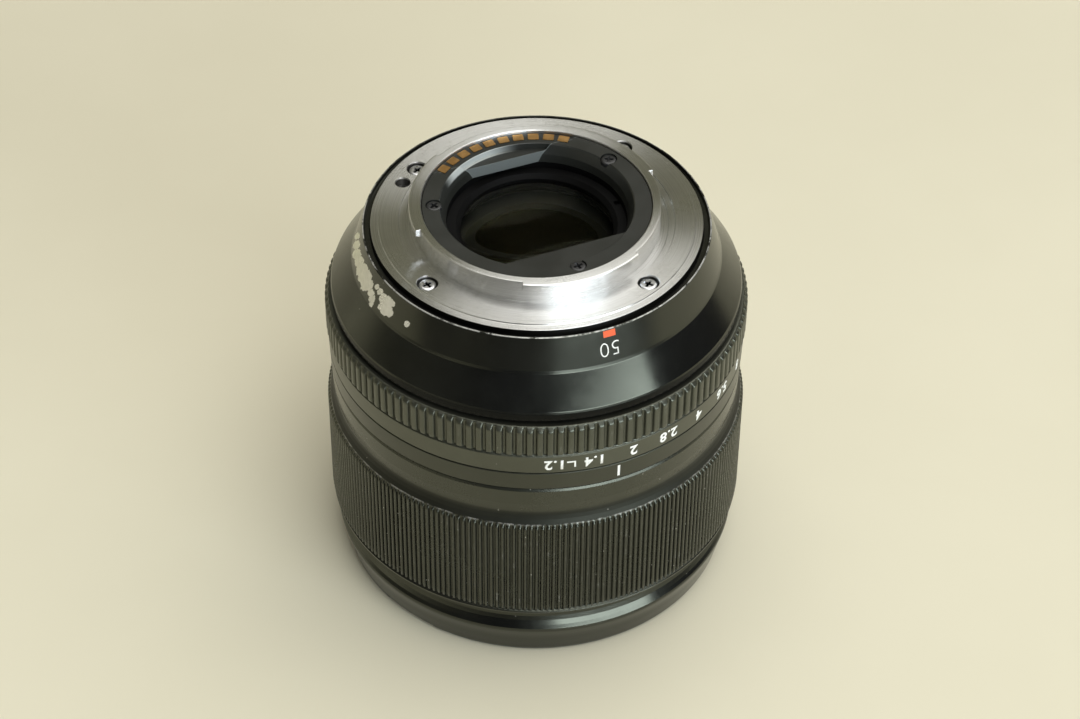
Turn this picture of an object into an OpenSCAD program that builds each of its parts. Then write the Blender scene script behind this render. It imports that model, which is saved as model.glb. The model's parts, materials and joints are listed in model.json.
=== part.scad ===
// Autofocus prime lens for a mirrorless camera, standing on its front rim.
// Heights inside each module are measured up from the front rim along the
// optical axis; lift() then puts the flange's bearing plane at z = 0.
// The lens's top faces -Y and the electrical contacts are centred on +Y.

/* [Overall] */
// Distance from the front rim to the flange's bearing plane
flange_height = 69.7; // [69.5:0.1:70.5]
// Outer diameter over the focus ring's ribs
body_d = 73.2; // [73:0.1:74]
// Length of the bayonet collar beyond the flange plane
collar_len = 3.7; // [3.5:0.05:3.8]

/* [Mount] */
// Outer diameter of the bayonet tabs
tab_d = 42.9; // [42.6:0.1:43.4]
// Outer diameter of the collar between the tabs
neck_d = 41.4; // [41:0.1:41.6]
// Bore of the collar
collar_bore_d = 38.7; // [38.6:0.1:38.8]
// Angle covered by each bayonet tab
tab_sweep = 58; // [40:1:62]
// Thickness of each bayonet tab
tab_t = 1.3; // [1:0.1:1.5]
// Number of electrical contacts
contact_count = 10; // [8:1:12]
// Angle between neighbouring contacts
contact_step = 8.2; // [7.5:0.1:8.4]

/* [Aperture ring] */
// Number of ridges round the grip of the aperture ring
aperture_ridges = 134; // [100:1:160]
// Depth of the grooves between the ridges
aperture_groove = 0.6; // [0.3:0.05:0.7]
// Angle between two full stops on the aperture ring
stop_step = 11.33; // [10:0.01:12]

/* [Focus ring] */
// Number of ribs round the focus ring
focus_ribs = 236; // [180:2:260]
// Height of the ribs above the ring's barrel
rib_h = 0.5; // [0.3:0.05:0.6]

/* [Front] */
// Bore of the filter thread
filter_bore_d = 61.2; // [61:0.1:61.4]
// Length of the filter thread
filter_len = 4; // [3.5:0.1:4.2]

/* [Iris] */
// Number of iris blades
blade_count = 7; // [7:1:7]
// Radius of the fully open iris
iris_open_r = 15.6; // [15.4:0.1:15.7]
// Radius of the circle the blades pivot on
pivot_r = 26.4; // [26.3:0.05:26.5]
// Angle a blade turns between fully open and fully stopped down
blade_swing = 31.7; // [20:0.1:31.8]
// Angle the drive ring turns for the same range
rotor_swing = 20; // [20:0.5:20]

/* [Focus unit] */
// Radius of the circle the two guide rods stand on
rod_circle_r = 27.6; // [27.4:0.1:27.8]
// Radius of the guide rods
rod_r = 0.9; // [0.7:0.05:1]

/* [Hidden] */
$fn = 96;
run = 0.05;                      // running clearance
gap = 0.02;                      // gap between fixed parts that only touch
body_r = body_d / 2;
flange_z = flange_height;
top_z = flange_z + collar_len;
sleeve_r = 32.4;                 // outside of the main barrel
sleeve_in = 31.2;                // inside of the main barrel
insert_r = sleeve_in - run;      // parts that slide into the main barrel

// Angles (az) are measured round the optical axis from +X
main_rod_az = 150;
side_rod_az = main_rod_az - 180;
stepper_az = 210;
motor_az = 20;
detent_az = 60;                  // click ball and its spring
sensor_az = 60;                  // focus encoder sensor
brush_az = 90;
set_screw_az = [35, 155, 275];
set_screw_z = 30.2;

// Gears, all of one module
gear_module = 0.3;
rotor_teeth = 168;
stepper_teeth = 10;
motor_teeth = 12;
screw_teeth = 24;
mesh_slack = 0.02;               // added to the distance between gear axes
function gear_spacing(teeth, mate) = gear_module * (teeth + mate) / 2 + mesh_slack;
drive_r = 26.9;                  // radius of the focus motor and lead screw axes
// half the angle between motor and lead screw
mesh_half = asin(gear_spacing(motor_teeth, screw_teeth) / 2 / drive_r);
screw_az = motor_az + 2 * mesh_half;
stepper_r = gear_spacing(rotor_teeth, stepper_teeth);

// Colours shared by several nodes
ring_black = [0.08, 0.08, 0.085];
cell_black = [0.07, 0.07, 0.075];
retainer_black = [0.08, 0.08, 0.08];
motor_grey = [0.62, 0.63, 0.64];
brass = [0.8, 0.68, 0.35];
green_glass = [0.55, 0.72, 0.68, 0.4];
blue_glass = [0.60, 0.66, 0.76, 0.4];

// ---------- helpers ----------
module lift() translate([0, 0, -flange_z]) children();
module at(az, radius, z = 0) rotate(az) translate([radius, 0, z]) children();
module around(angles, radius, z = 0) for (az = angles) at(az, radius, z) children();

// solid of revolution; every profile is a list of [radius, height]
module spin(profile) rotate_extrude() polygon(profile);

module tube(inner_r, outer_r, low, high) {
  translate([0, 0, low]) difference() {
    cylinder(r = outer_r, h = high - low);
    translate([0, 0, -1]) cylinder(r = inner_r, h = high - low + 2);
  }
}

module arc(inner_r, outer_r, low, high, start, end) {
  rotate(start) rotate_extrude(angle = end - start)
    translate([inner_r, low]) square([outer_r - inner_r, high - low]);
}

// box that starts at x and z and is centred on y = 0
module slab(x, z, size) translate([x, -size[1] / 2, z]) cube(size);

// toothed outline; steps are [fraction of the tooth pitch, radius]
function toothed(count, steps) = [for (i = [0 : count - 1]) for (step = steps)
  let (angle = (i + step[0]) * 360 / count) step[1] * [cos(angle), sin(angle)]];

function gear_pts(teeth) =
  let (pitch_r = gear_module * teeth / 2,
       root = pitch_r - 1.2 * gear_module,
       tip = pitch_r + 0.9 * gear_module)
  toothed(teeth, [[-0.30, root], [-0.10, tip], [0.10, tip], [0.30, root]]);

module cross_recess(size, depth) {
  slot_w = 0.4;
  for (angle = [0, 90]) rotate(angle)
    translate([-size / 2, -slot_w / 2, -depth]) cube([size, slot_w, depth + 1]);
}

// screw with its head up: head face at head_z, tip at tip_z
module cross_screw(head_r, shank_r, head_z, tip_z, head_t) {
  difference() {
    union() {
      translate([0, 0, head_z - head_t]) cylinder(r = head_r, h = head_t);
      translate([0, 0, tip_z]) cylinder(r = shank_r, h = head_z - tip_z - head_t / 2);
    }
    translate([0, 0, head_z]) rotate(20) cross_recess(head_r * 1.35, head_t * 0.6);
  }
}

// children pointing outward at the barrel's set screws
module at_set_screws(radius) around(set_screw_az, radius, set_screw_z) rotate([0, 90, 0]) children();

// bearing holes for the guide rods and the lead screw
module bearing_holes(z, depth) {
  around([main_rod_az, side_rod_az], rod_circle_r, z) cylinder(r = rod_r + gap, h = depth);
  at(screw_az, drive_r, z) cylinder(r = 0.62, h = depth);
}

// ---------- mount end ----------
tab_r = tab_d / 2;
neck_r = neck_d / 2;
collar_r = collar_bore_d / 2;
flange_screw_az = [-159.6, -64.1, 30.5, 124.4];
flange_screw_circle = 24.4;
baffle_screw_az = [159.4, 22.3, -89.6];
baffle_screw_circle = 17.2;
boss_r = 19.26;                  // rear cell's boss and the parts on it, inside the collar
block_half = 41.8;               // half the angle of the contact block
contact_circle = 18.3;
contact_az = [for (i = [0 : contact_count - 1])
  90 + (i - (contact_count - 1) / 2) * contact_step];
flex_w = 7.8;
flex_slot_w = flex_w + 0.6;
flex_t = 0.15;

module mount_flange() color([0.80, 0.81, 0.82]) lift() {
  profile = [
    [collar_r, flange_z - 2.3], [27.8, flange_z - 2.3], [28.0, flange_z - 2.1],
    [28.0, flange_z - 0.35], [27.85, flange_z - 0.2], [26.65, flange_z - 0.2],
    [26.6, flange_z], [23.2, flange_z], [23.15, flange_z - 0.25], [22.1, flange_z - 0.25],
    [22.05, flange_z - 0.4], [neck_r, flange_z - 0.4], [neck_r, top_z - 0.12],
    [neck_r - 0.12, top_z], [collar_r + 0.15, top_z], [collar_r, top_z - 0.15]];
  tab_z = top_z - tab_t;
  tab_profile = [
    [neck_r - 0.2, tab_z - 0.25], [neck_r, tab_z - 0.1], [tab_r - 0.15, tab_z],
    [tab_r, tab_z + 0.15], [tab_r, top_z - 0.15], [tab_r - 0.15, top_z], [neck_r - 0.2, top_z]];
  difference() {
    union() {
      spin(profile);
      for (az = [-90, 30, 150]) rotate(az - tab_sweep / 2)
        rotate_extrude(angle = tab_sweep) polygon(tab_profile);
    }
    around(flange_screw_az, flange_screw_circle) {
      translate([0, 0, flange_z - 3]) cylinder(r = 0.95, h = 4);
      translate([0, 0, flange_z - 1.3]) cylinder(r = 1.8, h = 2);
    }
    // round pocket in the bearing face
    at(134.9, 24.7, flange_z - 1.6) cylinder(r = 1.3, h = 3);
  }
}

module flange_shim() color([0.78, 0.66, 0.36]) lift() {
  difference() {
    tube(23.0, 27.6, flange_z - 2.5 + gap, flange_z - 2.3 - gap);
    around(flange_screw_az, flange_screw_circle, flange_z - 3) cylinder(r = 1, h = 1);
  }
}

module flange_screws() color([0.72, 0.73, 0.74]) lift() {
  around(flange_screw_az, flange_screw_circle)
    cross_screw(1.45, 0.78, flange_z - 0.3, flange_z - 5.3, 0.98);
}

module contact_pad(grow) {
  intersection() {
    square([1.6 + 2 * grow, 1.85 + 2 * grow], center = true);
    circle(r = 1.13 + grow);
  }
}

module contact_block() color([0.06, 0.06, 0.065]) lift() {
  difference() {
    arc(17.2, boss_r, flange_z + 0.05, top_z - 0.65, 90 - block_half, 90 + block_half);
    around(contact_az, contact_circle, flange_z) linear_extrude(6) contact_pad(0.03);
    translate([-flex_slot_w / 2, 16, flange_z]) cube([flex_slot_w, 4, 0.3]);
  }
}

module contact_pins() color([0.85, 0.65, 0.30]) lift() {
  around(contact_az, contact_circle, flange_z + 0.3)
    linear_extrude(collar_len - 0.85) contact_pad(0);
}

module contact_flex() color([0.70, 0.40, 0.12]) lift() {
  // side view, [y, height]
  fold = [
    [17.5, flange_z + 0.1], [18.55, flange_z + 0.1], [18.55, flange_z - 8.4],
    [23.7, flange_z - 8.4], [23.7, flange_z - 9.05], [23.7 + flex_t, flange_z - 9.05],
    [23.7 + flex_t, flange_z - 8.4 + flex_t], [18.55 + flex_t, flange_z - 8.4 + flex_t],
    [18.55 + flex_t, flange_z + 0.1 + flex_t], [17.5, flange_z + 0.1 + flex_t]];
  translate([-flex_w / 2, 0, 0]) rotate([90, 0, 90]) linear_extrude(flex_w) polygon(fold);
}

module rear_baffle() color([0.05, 0.05, 0.055]) lift() {
  profile = [
    [15.2, flange_z + 0.1], [boss_r, flange_z + 0.1], [boss_r, top_z - 0.5],
    [boss_r - 0.1, top_z - 0.4], [16.4, top_z - 0.4], [16.2, top_z - 0.6], [15.5, top_z - 2.2]];
  // the opening is cut off straight at these two y values
  window_low = -11.25;
  window_high = 14;
  difference() {
    union() {
      spin(profile);
      difference() {
        translate([0, 0, flange_z + 0.1]) cylinder(r = 16.0, h = collar_len - 1.6);
        translate([-20, window_low, flange_z - 1]) cube([40, window_high - window_low, 6]);
      }
    }
    for (y = [window_low - 20, window_high]) intersection() {
      translate([0, 0, top_z - 1.5]) cylinder(r = 16.3, h = 2);
      translate([-20, y, flange_z]) cube([40, 20, 6]);
    }
    // room for the contact block
    arc(17.17, 19.5, flange_z - 1, top_z + 1, 90 - block_half - 0.2, 90 + block_half + 0.2);
    around(baffle_screw_az, baffle_screw_circle) {
      translate([0, 0, flange_z - 1]) cylinder(r = 0.62, h = 6);
      translate([0, 0, top_z - 1.35]) cylinder(r = 1.42, h = 2);
    }
  }
}

module baffle_screws() color([0.10, 0.10, 0.10]) lift() {
  around(baffle_screw_az, baffle_screw_circle)
    cross_screw(1.35, 0.55, top_z - 0.5, flange_z - 1.6, 0.8);
}

module rear_cell() color(cell_black) lift() {
  profile = [
    [13.0, flange_z - 8.1], [25.4, flange_z - 8.1], [25.4, flange_z - 6.55],
    [22.55, flange_z - 6.55], [22.55, flange_z - 2.55], [boss_r, flange_z - 2.55],
    [boss_r, flange_z + 0.05], [15.2, flange_z + 0.05], [15.2, flange_z - 2.45],
    [13.65, flange_z - 2.45], [13.65, flange_z - 3.45], [13.0, flange_z - 3.45],
    [13.0, flange_z - 5.65], [14.05, flange_z - 5.65], [14.05, flange_z - 7.8],
    [13.0, flange_z - 7.8]];
  difference() {
    spin(profile);
    translate([-flex_slot_w / 2, 18.4, flange_z - 8.4]) cube([flex_slot_w, 9, 8.6]);
    around(baffle_screw_az, baffle_screw_circle, flange_z - 2) cylinder(r = 0.57, h = 3);
  }
}

module rear_retaining_ring() color(retainer_black) lift() {
  difference() {
    spin([[12.9, flange_z - 2.4], [15.15, flange_z - 2.4], [15.15, flange_z - 1.1],
          [13.6, flange_z - 1.1], [12.9, flange_z - 1.8]]);
    // spanner slots
    for (az = [0, 180]) rotate(az) slab(14.2, flange_z - 1.7, [2, 1, 2]);
  }
}

module rear_cover() color(cell_black) lift() {
  spin([
    [32.45, 55.75], [34.65, 55.75], [35.0, 56.1], [35.05, 56.65], [35.05, 57.45],
    [34.9, 57.85], [31.35, 63.0], [31.15, 63.5], [29.35, 68.95], [29.2, 69.08],
    [28.95, 69.05], [28.88, 68.5], [28.05, 68.5], [28.05, flange_z - 2.32],
    [27.65, flange_z - 2.32], [27.65, 65.6], [29.6, 62.6], [32.6, 58.5], [31.2, 58.5],
    [31.2, 57.02], [32.45, 57.02]]);
}

module main_pcb() color([0.06, 0.22, 0.12]) lift() {
  parts_z = 59.5;                // sunk 0.1 into the board
  difference() {
    tube(22.3, 26.55, 58.6, 59.6);
    rotate(stepper_az) slab(21, 58, [8, 6, 3]);
  }
  for (az = [20, 62, 118, 160, 240, 285, 330]) rotate(az) slab(22.9, parts_z, [3.2, 3.4, 0.9]);
  // connector for the contact flex
  translate([-flex_slot_w / 2, 23.3, parts_z]) cube([flex_slot_w, 1.0, 1.12]);
}

// ---------- barrels and rings ----------
grip_r = body_r - 0.4;           // crests of the aperture ring's ridges
ridge_w = 0.62;                  // ridge width as a fraction of the ridge pitch
detent_r = 33.6;                 // radius of the click ball's axis
focus_bore_r = 33.4;
filter_r = filter_bore_d / 2;
front_screw_az = [-30, 90, 210];
front_screw_circle = 28.9;

module main_barrel() color([0.12, 0.12, 0.13]) lift() {
  profile = [
    [sleeve_in, 11.42], [sleeve_r, 11.42], [sleeve_r, 57.0], [27.6, 57.0],
    [27.6, flange_z - 2.5], [22.6, flange_z - 2.5], [22.6, flange_z - 6.5],
    [26.6, flange_z - 6.5], [26.6, 55.4], [sleeve_in, 55.4]];
  difference() {
    spin(profile);
    around(flange_screw_az, flange_screw_circle, flange_z - 5.6) cylinder(r = 0.8, h = 4);
    bearing_holes(55, 1.4);
    at_set_screws(28) cylinder(r = 0.45, h = 8);
    // windows for the encoder sensor and the brush
    rotate(sensor_az) slab(28, 19, [6, 6.2, 6]);
    rotate(brush_az) slab(30, 47.4, [2.8, 6.2, 2.6]);
  }
}

module barrel_set_screws() color([0.45, 0.45, 0.46]) lift() {
  at_set_screws(29.6) difference() {
    cylinder(r = 0.4, h = 2.6);
    slab(-0.1, 2.3, [0.2, 2, 1]);
  }
}

function ridge_pts(root, crest) =
  let (shoulder = root + (crest - root) * 0.72)
  toothed(aperture_ridges, [
    [0.5 - ridge_w / 2 - 0.10, root], [0.5 - ridge_w / 2, shoulder], [0.5 - ridge_w / 5, crest],
    [0.5 + ridge_w / 5, crest], [0.5 + ridge_w / 2, shoulder], [0.5 + ridge_w / 2 + 0.10, root]]);

module aperture_ring() color(ring_black) lift() {
  ring_profile = [
    [34.9, 45.13], [35.75, 45.13], [35.87, 45.25], [36.0, 48.85], [35.85, 49.0], [35.4, 49.0],
    [35.4, 55.1], [35.25, 55.3], [33.2, 55.3], [33.2, 54.2], [sleeve_r + run, 54.2],
    [sleeve_r + run, 50.6], [34.2, 50.6], [34.2, 47.2], [33.0, 47.2], [33.0, 46.2],
    [34.9, 46.2]];
  // envelope that chamfers the ends of the ridges
  grip_profile = [[30, 48.9], [36.0, 48.9], [36.5, 49.4], [36.5, 54.5], [35.5, 55.4], [30, 55.4]];
  difference() {
    union() {
      spin(ring_profile);
      intersection() {
        translate([0, 0, 49.0]) linear_extrude(6.2) difference() {
          polygon(ridge_pts(grip_r - aperture_groove, grip_r));
          circle(r = 35.1);
        }
        spin(grip_profile);
      }
    }
    // detent grooves at third stops, either side of the click ball
    for (i = [-22 : 5]) at(detent_az - i * stop_step / 3, 32.5, 46.05)
      rotate([0, 90, 0]) cylinder(r = 0.42, h = 2.2);
  }
}

module aperture_code_strip() color([0.75, 0.55, 0.2]) lift() {
  arc(34.0, 34.18, 47.6, 50.2, 20, 160);
}

module aperture_brush() color([0.1, 0.1, 0.1]) lift() {
  rotate(brush_az) {
    slab(31.3, 47.5, [2.2, 6, 2.4]);
    for (y = [-2.2 : 1.1 : 2.2]) translate([0, y, 0]) slab(33.4, 48.0, [0.5, 0.5, 1.4]);
  }
}

module click_ball() color([0.85, 0.85, 0.86]) lift() {
  at(detent_az, detent_r, 45.56) sphere(r = 0.6);
}

module click_spring() color([0.75, 0.76, 0.78]) lift() {
  turns = 5;
  outer_r = 0.54;
  inner_r = 0.36;
  at(detent_az, detent_r, 42.25)
    linear_extrude(height = 2.75, twist = -turns * 360, slices = 14 * turns, $fn = 6)
      polygon([for (angle = [-60 : 15 : 60]) outer_r * [cos(angle), sin(angle)],
               for (angle = [60 : -15 : -60]) inner_r * [cos(angle), sin(angle)]]);
}

module index_ring() color(ring_black) lift() {
  difference() {
    spin([[sleeve_r + gap, 41.3], [35.6, 41.3], [35.72, 41.42], [35.85, 44.85],
          [35.75, 44.97], [sleeve_r + gap, 44.97]]);
    at(detent_az, detent_r, 42.2) cylinder(r = 0.65, h = 4);
  }
}

function rib_pts(root, crest) =
  toothed(focus_ribs, [[0.12, root], [0.34, crest], [0.66, crest], [0.88, root]]);

module focus_ring() color(ring_black) lift() {
  ring_profile = [
    [focus_bore_r, 11.65], [36.1, 11.65], [36.45, 11.8], [36.5, 12.1], [36.4, 12.3],
    [35.9, 12.4], [35.9, 32.2], [36.35, 33.0], [36.0, 33.75], [35.75, 34.45], [35.55, 35.3],
    [35.5, 35.65], [35.55, 35.9], [35.62, 40.6], [35.45, 40.95], [35.2, 41.1],
    [focus_bore_r, 41.1]];
  // envelope that chamfers the ends of the ribs
  grip_profile = [[30, 12.0], [36.45, 12.0], [36.7, 12.3], [36.7, 32.5], [36.1, 33.3], [30, 33.3]];
  union() {
    spin(ring_profile);
    intersection() {
      translate([0, 0, 12.0]) linear_extrude(21.3) difference() {
        polygon(rib_pts(body_r - rib_h, body_r));
        circle(r = 35.5);
      }
      spin(grip_profile);
    }
  }
}

module focus_encoder_comb() color([0.6, 0.6, 0.62]) lift() {
  slots = 60;
  difference() {
    tube(33.0, 33.37, 19.5, 24.5);
    for (i = [0 : slots - 1]) rotate(i * 360 / slots) slab(32, 21.5, [3, 1.7, 4]);
  }
}

module focus_encoder_sensor() color([0.1, 0.12, 0.1]) lift() {
  rotate(sensor_az) {
    slab(30.4, 19.1, [0.5, 6, 5.8]);
    for (y = [-1.6, 1.6]) translate([0, y, 0]) slab(30.9, 19.8, [1.6, 2, 4.4]);
  }
}

module focus_glides() color([0.85, 0.85, 0.8]) lift() {
  for (z = [13, 37.8]) tube(sleeve_r + gap, focus_bore_r - run, z, z + 2.2);
}

module front_barrel() color(ring_black) lift() {
  thread_z = 0.5;                // the filter thread starts here
  thread_end = thread_z + filter_len;
  profile = [
    [filter_r, thread_z], [filter_r + 0.5, 0], [33.5, 0], [34.0, 0.2], [34.3, 0.7],
    [35.65, 6.2], [35.7, 6.6], [35.6, 6.9], [35.2, 7.45], [34.75, 8.2], [34.4, 9.0],
    [34.25, 9.8], [34.25, 11.4], [insert_r, 11.4], [insert_r, 14.5], [30.0, 14.5],
    [30.0, 11.4], [27.9, 11.4], [27.9, 8.75], [filter_r - 0.4, 8.75],
    [filter_r - 0.4, thread_end + 0.6], [filter_r + 0.7, thread_end + 0.6],
    [filter_r + 0.7, thread_end], [filter_r, thread_end]];
  difference() {
    spin(profile);
    // three notches in the outside of the rim
    for (az = [78, 198, 318]) arc(33.8, 38, -1, 1.0, az, az + 18);
    around(front_screw_az, front_screw_circle, 7) cylinder(r = 0.55, h = 3.2);
  }
}

module trim_ring() color([0.06, 0.06, 0.065]) lift() {
  difference() {
    spin([
      [26.35, 6.55], [26.35, 6.3], [26.9, 5.9], [27.5, 5.9], [27.5, 5.6], [28.1, 5.6],
      [28.1, 5.3], [28.7, 5.3], [28.7, 5.15], [30.0, 5.15], [30.15, 5.3], [30.15, 6.6],
      [26.35, 6.6]]);
    around([60, 240], 29.5, 4) cylinder(r = 0.35, h = 2);
  }
}

module front_retaining_ring() color([0.06, 0.06, 0.06]) lift() {
  difference() {
    spin([[24.6, 10.7], [24.6, 9.9], [25.2, 8.9], [26.25, 8.9], [26.25, 10.7]]);
    // spanner slots
    for (az = [0, 180]) rotate(az) slab(25.4, 8, [2, 1.2, 1.6]);
  }
}

module front_cell() color(cell_black) lift() {
  profile = [
    [26.3, 6.7], [30.1, 6.7], [30.1, 8.7], [27.8, 8.7], [27.8, 29.5], [24.0, 29.5],
    [21.2, 28.95], [20.0, 28.95], [20.0, 28.6], [21.05, 28.6], [21.05, 22.45], [22.2, 22.45],
    [22.2, 19.75], [23.45, 19.75], [23.45, 16.6], [24.0, 15.4], [24.3, 14.1], [25.45, 14.1],
    [25.45, 10.75], [26.3, 10.75]];
  difference() {
    spin(profile);
    around(front_screw_az, front_screw_circle, 6) {
      cylinder(r = 0.62, h = 3.5);
      cylinder(r = 1.0, h = 1.5);
    }
  }
}

// heads towards the front rim
module front_cell_screws() color([0.15, 0.15, 0.15]) lift() {
  around(front_screw_az, front_screw_circle)
    mirror([0, 0, 1]) cross_screw(0.95, 0.5, -6.75, -10.0, 0.7);
}

// ---------- glass ----------
// One row per element: rim radius, front vertex height, front curvature radius,
// rear vertex height, rear curvature radius. The centre of curvature is above the
// vertex for a positive radius and below it for a negative one; 0 is a flat.
lenses = [
  [25.4,  5.6,        60, 13.2,  400],
  [23.4, 14.4,        75, 17.8,  150],
  [21.0, 18.3,        55, 24.0,    0],
  [21.0, 24.0 + gap,   0, 25.3,   70],
  [16.0, 39.8,       -50, 41.0,   60],
  [16.0, 41.0 + gap,  60, 46.2,  -55],
  [16.0, 46.6,        70, 49.8, -200],
  [15.2, 50.3,        90, 53.8,  -70],
  [15.2, 53.8 + gap, -70, 55.0,  120],
  [14.0, 63.7,       -60, 64.9,  -90],
  [13.6, 65.4,        90, 68.6,  -60]];

function sag(radius, curve) = abs(curve) - sqrt(curve * curve - radius * radius);

// disc over the full curvature circle of one face
module face_circle(vertex, curve) translate([0, vertex + curve]) circle(r = abs(curve), $fn = 1440);

module lens(number) lift() {
  row = lenses[number - 1];
  rim_r = row[0];
  front_z = row[1];
  front_curve = row[2];
  rear_z = row[3];
  rear_curve = row[4];
  low = front_curve < 0 ? front_z - sag(rim_r, front_curve) : front_z;
  high = rear_curve > 0 ? rear_z + sag(rim_r, rear_curve) : rear_z;
  rotate_extrude() difference() {
    intersection() {
      translate([0, low]) square([rim_r, high - low]);
      if (front_curve > 0) face_circle(front_z, front_curve);
      if (rear_curve < 0) face_circle(rear_z, rear_curve);
    }
    if (front_curve < 0) face_circle(front_z, front_curve);
    if (rear_curve > 0) face_circle(rear_z, rear_curve);
  }
}

module lens_1() color(green_glass) lens(1);
module lens_2() color(green_glass) lens(2);
module lens_3() color(green_glass) lens(3);
module lens_4() color(blue_glass) lens(4);
module lens_5() color(blue_glass) lens(5);
module lens_6() color(green_glass) lens(6);
module lens_7() color(green_glass) lens(7);
module lens_8() color(green_glass) lens(8);
module lens_9() color(blue_glass) lens(9);
module lens_10() color(green_glass) lens(10);
module lens_11() color(green_glass) lens(11);

// ---------- iris ----------
blade_z = 30.95;                 // front face of blade 1
blade_t = 0.1;
blade_pitch = 0.15;
blade_az = [for (i = [0 : blade_count - 1]) i * 360 / blade_count];
pin_arm = 4.5;                   // from a blade's pivot to its drive pin
pin_start = 90 - blade_swing / 2;
blade_gain = blade_swing / rotor_swing;
iris_wall_r = 29.6;              // inside of the iris base's wall
rotor_bore_r = 24.2;
cover_z = 34.6;                  // front face of the iris cover

module iris_base() color([0.13, 0.13, 0.13]) lift() {
  profile = [
    [iris_open_r, 29.6], [insert_r, 29.6], [insert_r, cover_z - gap],
    [iris_wall_r, cover_z - gap], [iris_wall_r, 30.8], [iris_open_r, 30.8]];
  difference() {
    spin(profile);
    around(blade_az, pivot_r, 29.8) cylinder(r = 0.53, h = 2);
    at_set_screws(29.55) cylinder(r = 0.42, h = 5);
  }
}

function turned(point, angle) = [point[0] * cos(angle) - point[1] * sin(angle),
                                 point[0] * sin(angle) + point[1] * cos(angle)];

// drive pin of the blade at angle 0, once that blade has turned by `angle`
function pin_at(angle) =
  [pivot_r + pin_arm * cos(pin_start + angle), pin_arm * sin(pin_start + angle)];

// path of that pin seen from the drive ring, by the ring's angle
function slot_mid(angle) = turned(pin_at(angle * blade_gain), -angle);
function slot_dir(angle) =
  let (chord = slot_mid(angle + 0.05) - slot_mid(angle - 0.05)) chord / norm(chord);
function slot_edge(angle, offset) =
  let (mid = slot_mid(angle), dir = slot_dir(angle)) mid + offset * [-dir[1], dir[0]];

module cam_slot(half_width) {
  steps = 12;
  overrun = 1.6;                 // extra ring angle at each end
  angles = [for (i = [0 : steps]) -overrun + (rotor_swing + 2 * overrun) * i / steps];
  polygon([for (i = [0 : steps]) slot_edge(angles[i], half_width),
           for (i = [steps : -1 : 0]) slot_edge(angles[i], -half_width)]);
}

module iris_rotor() color([0.35, 0.35, 0.36]) lift() {
  difference() {
    union() {
      tube(rotor_bore_r, iris_wall_r - run, 32.15, 33.05);
      // toothed sector for the stepper's pinion
      intersection() {
        translate([0, 0, 33.0]) linear_extrude(1.4) difference() {
          rotate(stepper_az) polygon(gear_pts(rotor_teeth));
          circle(r = rotor_bore_r);
        }
        arc(20, 30, 32, 35, stepper_az - 24, stepper_az + 5);
      }
    }
    for (az = blade_az) rotate(az) translate([0, 0, 32]) linear_extrude(1.3) cam_slot(0.5);
  }
}

module blade(number) color([0.16, 0.16, 0.17]) lift() {
  z = blade_z + (number - 1) * blade_pitch;
  pin = pin_at(0);
  pivot_floor = 29.9;
  rotate((number - 1) * 360 / blade_count) union() {
    translate([0, 0, z]) linear_extrude(blade_t) union() {
      // crescent: a ring cut to a sector
      intersection() {
        difference() {
          circle(r = 24.8);
          circle(r = iris_open_r);
        }
        polygon([[0, 0], turned([40, 0], -6), turned([60, 0], 28), turned([60, 0], 70),
                 turned([40, 0], 113)]);
      }
      translate([pivot_r, 0]) circle(r = 1.3);
      translate(pin) circle(r = 0.95);
      // web from the crescent to the pivot and the pin
      polygon([turned([23.5, 0], -4.5), [pivot_r + 0.6, -1.15], [pivot_r + 1.25, 0],
               pin + [0.9, 0], pin + [0, 0.95], turned([23.8, 0], 15)]);
    }
    translate([pivot_r, 0, pivot_floor]) cylinder(r = 0.5, h = z - pivot_floor + blade_t / 2);
    translate([pin[0], pin[1], z]) cylinder(r = 0.45, h = 33.0 - z);
  }
}

module iris_blade_1() blade(1);
module iris_blade_2() blade(2);
module iris_blade_3() blade(3);
module iris_blade_4() blade(4);
module iris_blade_5() blade(5);
module iris_blade_6() blade(6);
module iris_blade_7() blade(7);

module iris_cover() color([0.14, 0.14, 0.14]) lift() {
  difference() {
    tube(16.2, insert_r, cover_z, 35.9);
    at(stepper_az, stepper_r, 34) cylinder(r = 0.55, h = 3);
    bearing_holes(34, 3);
    around([90, 210, 330], 30.4, 34) cylinder(r = 0.4, h = 3);
  }
}

module iris_stepper() color(motor_grey) lift() {
  at(stepper_az, stepper_r) difference() {
    union() {
      translate([0, 0, 35.95]) cylinder(r = 3, h = 8);
      translate([0, 0, 43.9]) cylinder(r = 1.4, h = 0.6);
    }
    translate([0, 0, 35]) cylinder(r = 0.5, h = 3);
  }
}

// gear on a motor shaft; phase turns its teeth into mesh
module pinion(teeth, z, width, phase, shaft_z) {
  translate([0, 0, z]) rotate(phase) linear_extrude(width) polygon(gear_pts(teeth));
  translate([0, 0, shaft_z]) cylinder(r = 0.4, h = 3.2);
}

module iris_pinion() color(brass) lift() {
  at(stepper_az, stepper_r) pinion(stepper_teeth, 33.3, 1.15, 198, 34.4);
}

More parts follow.
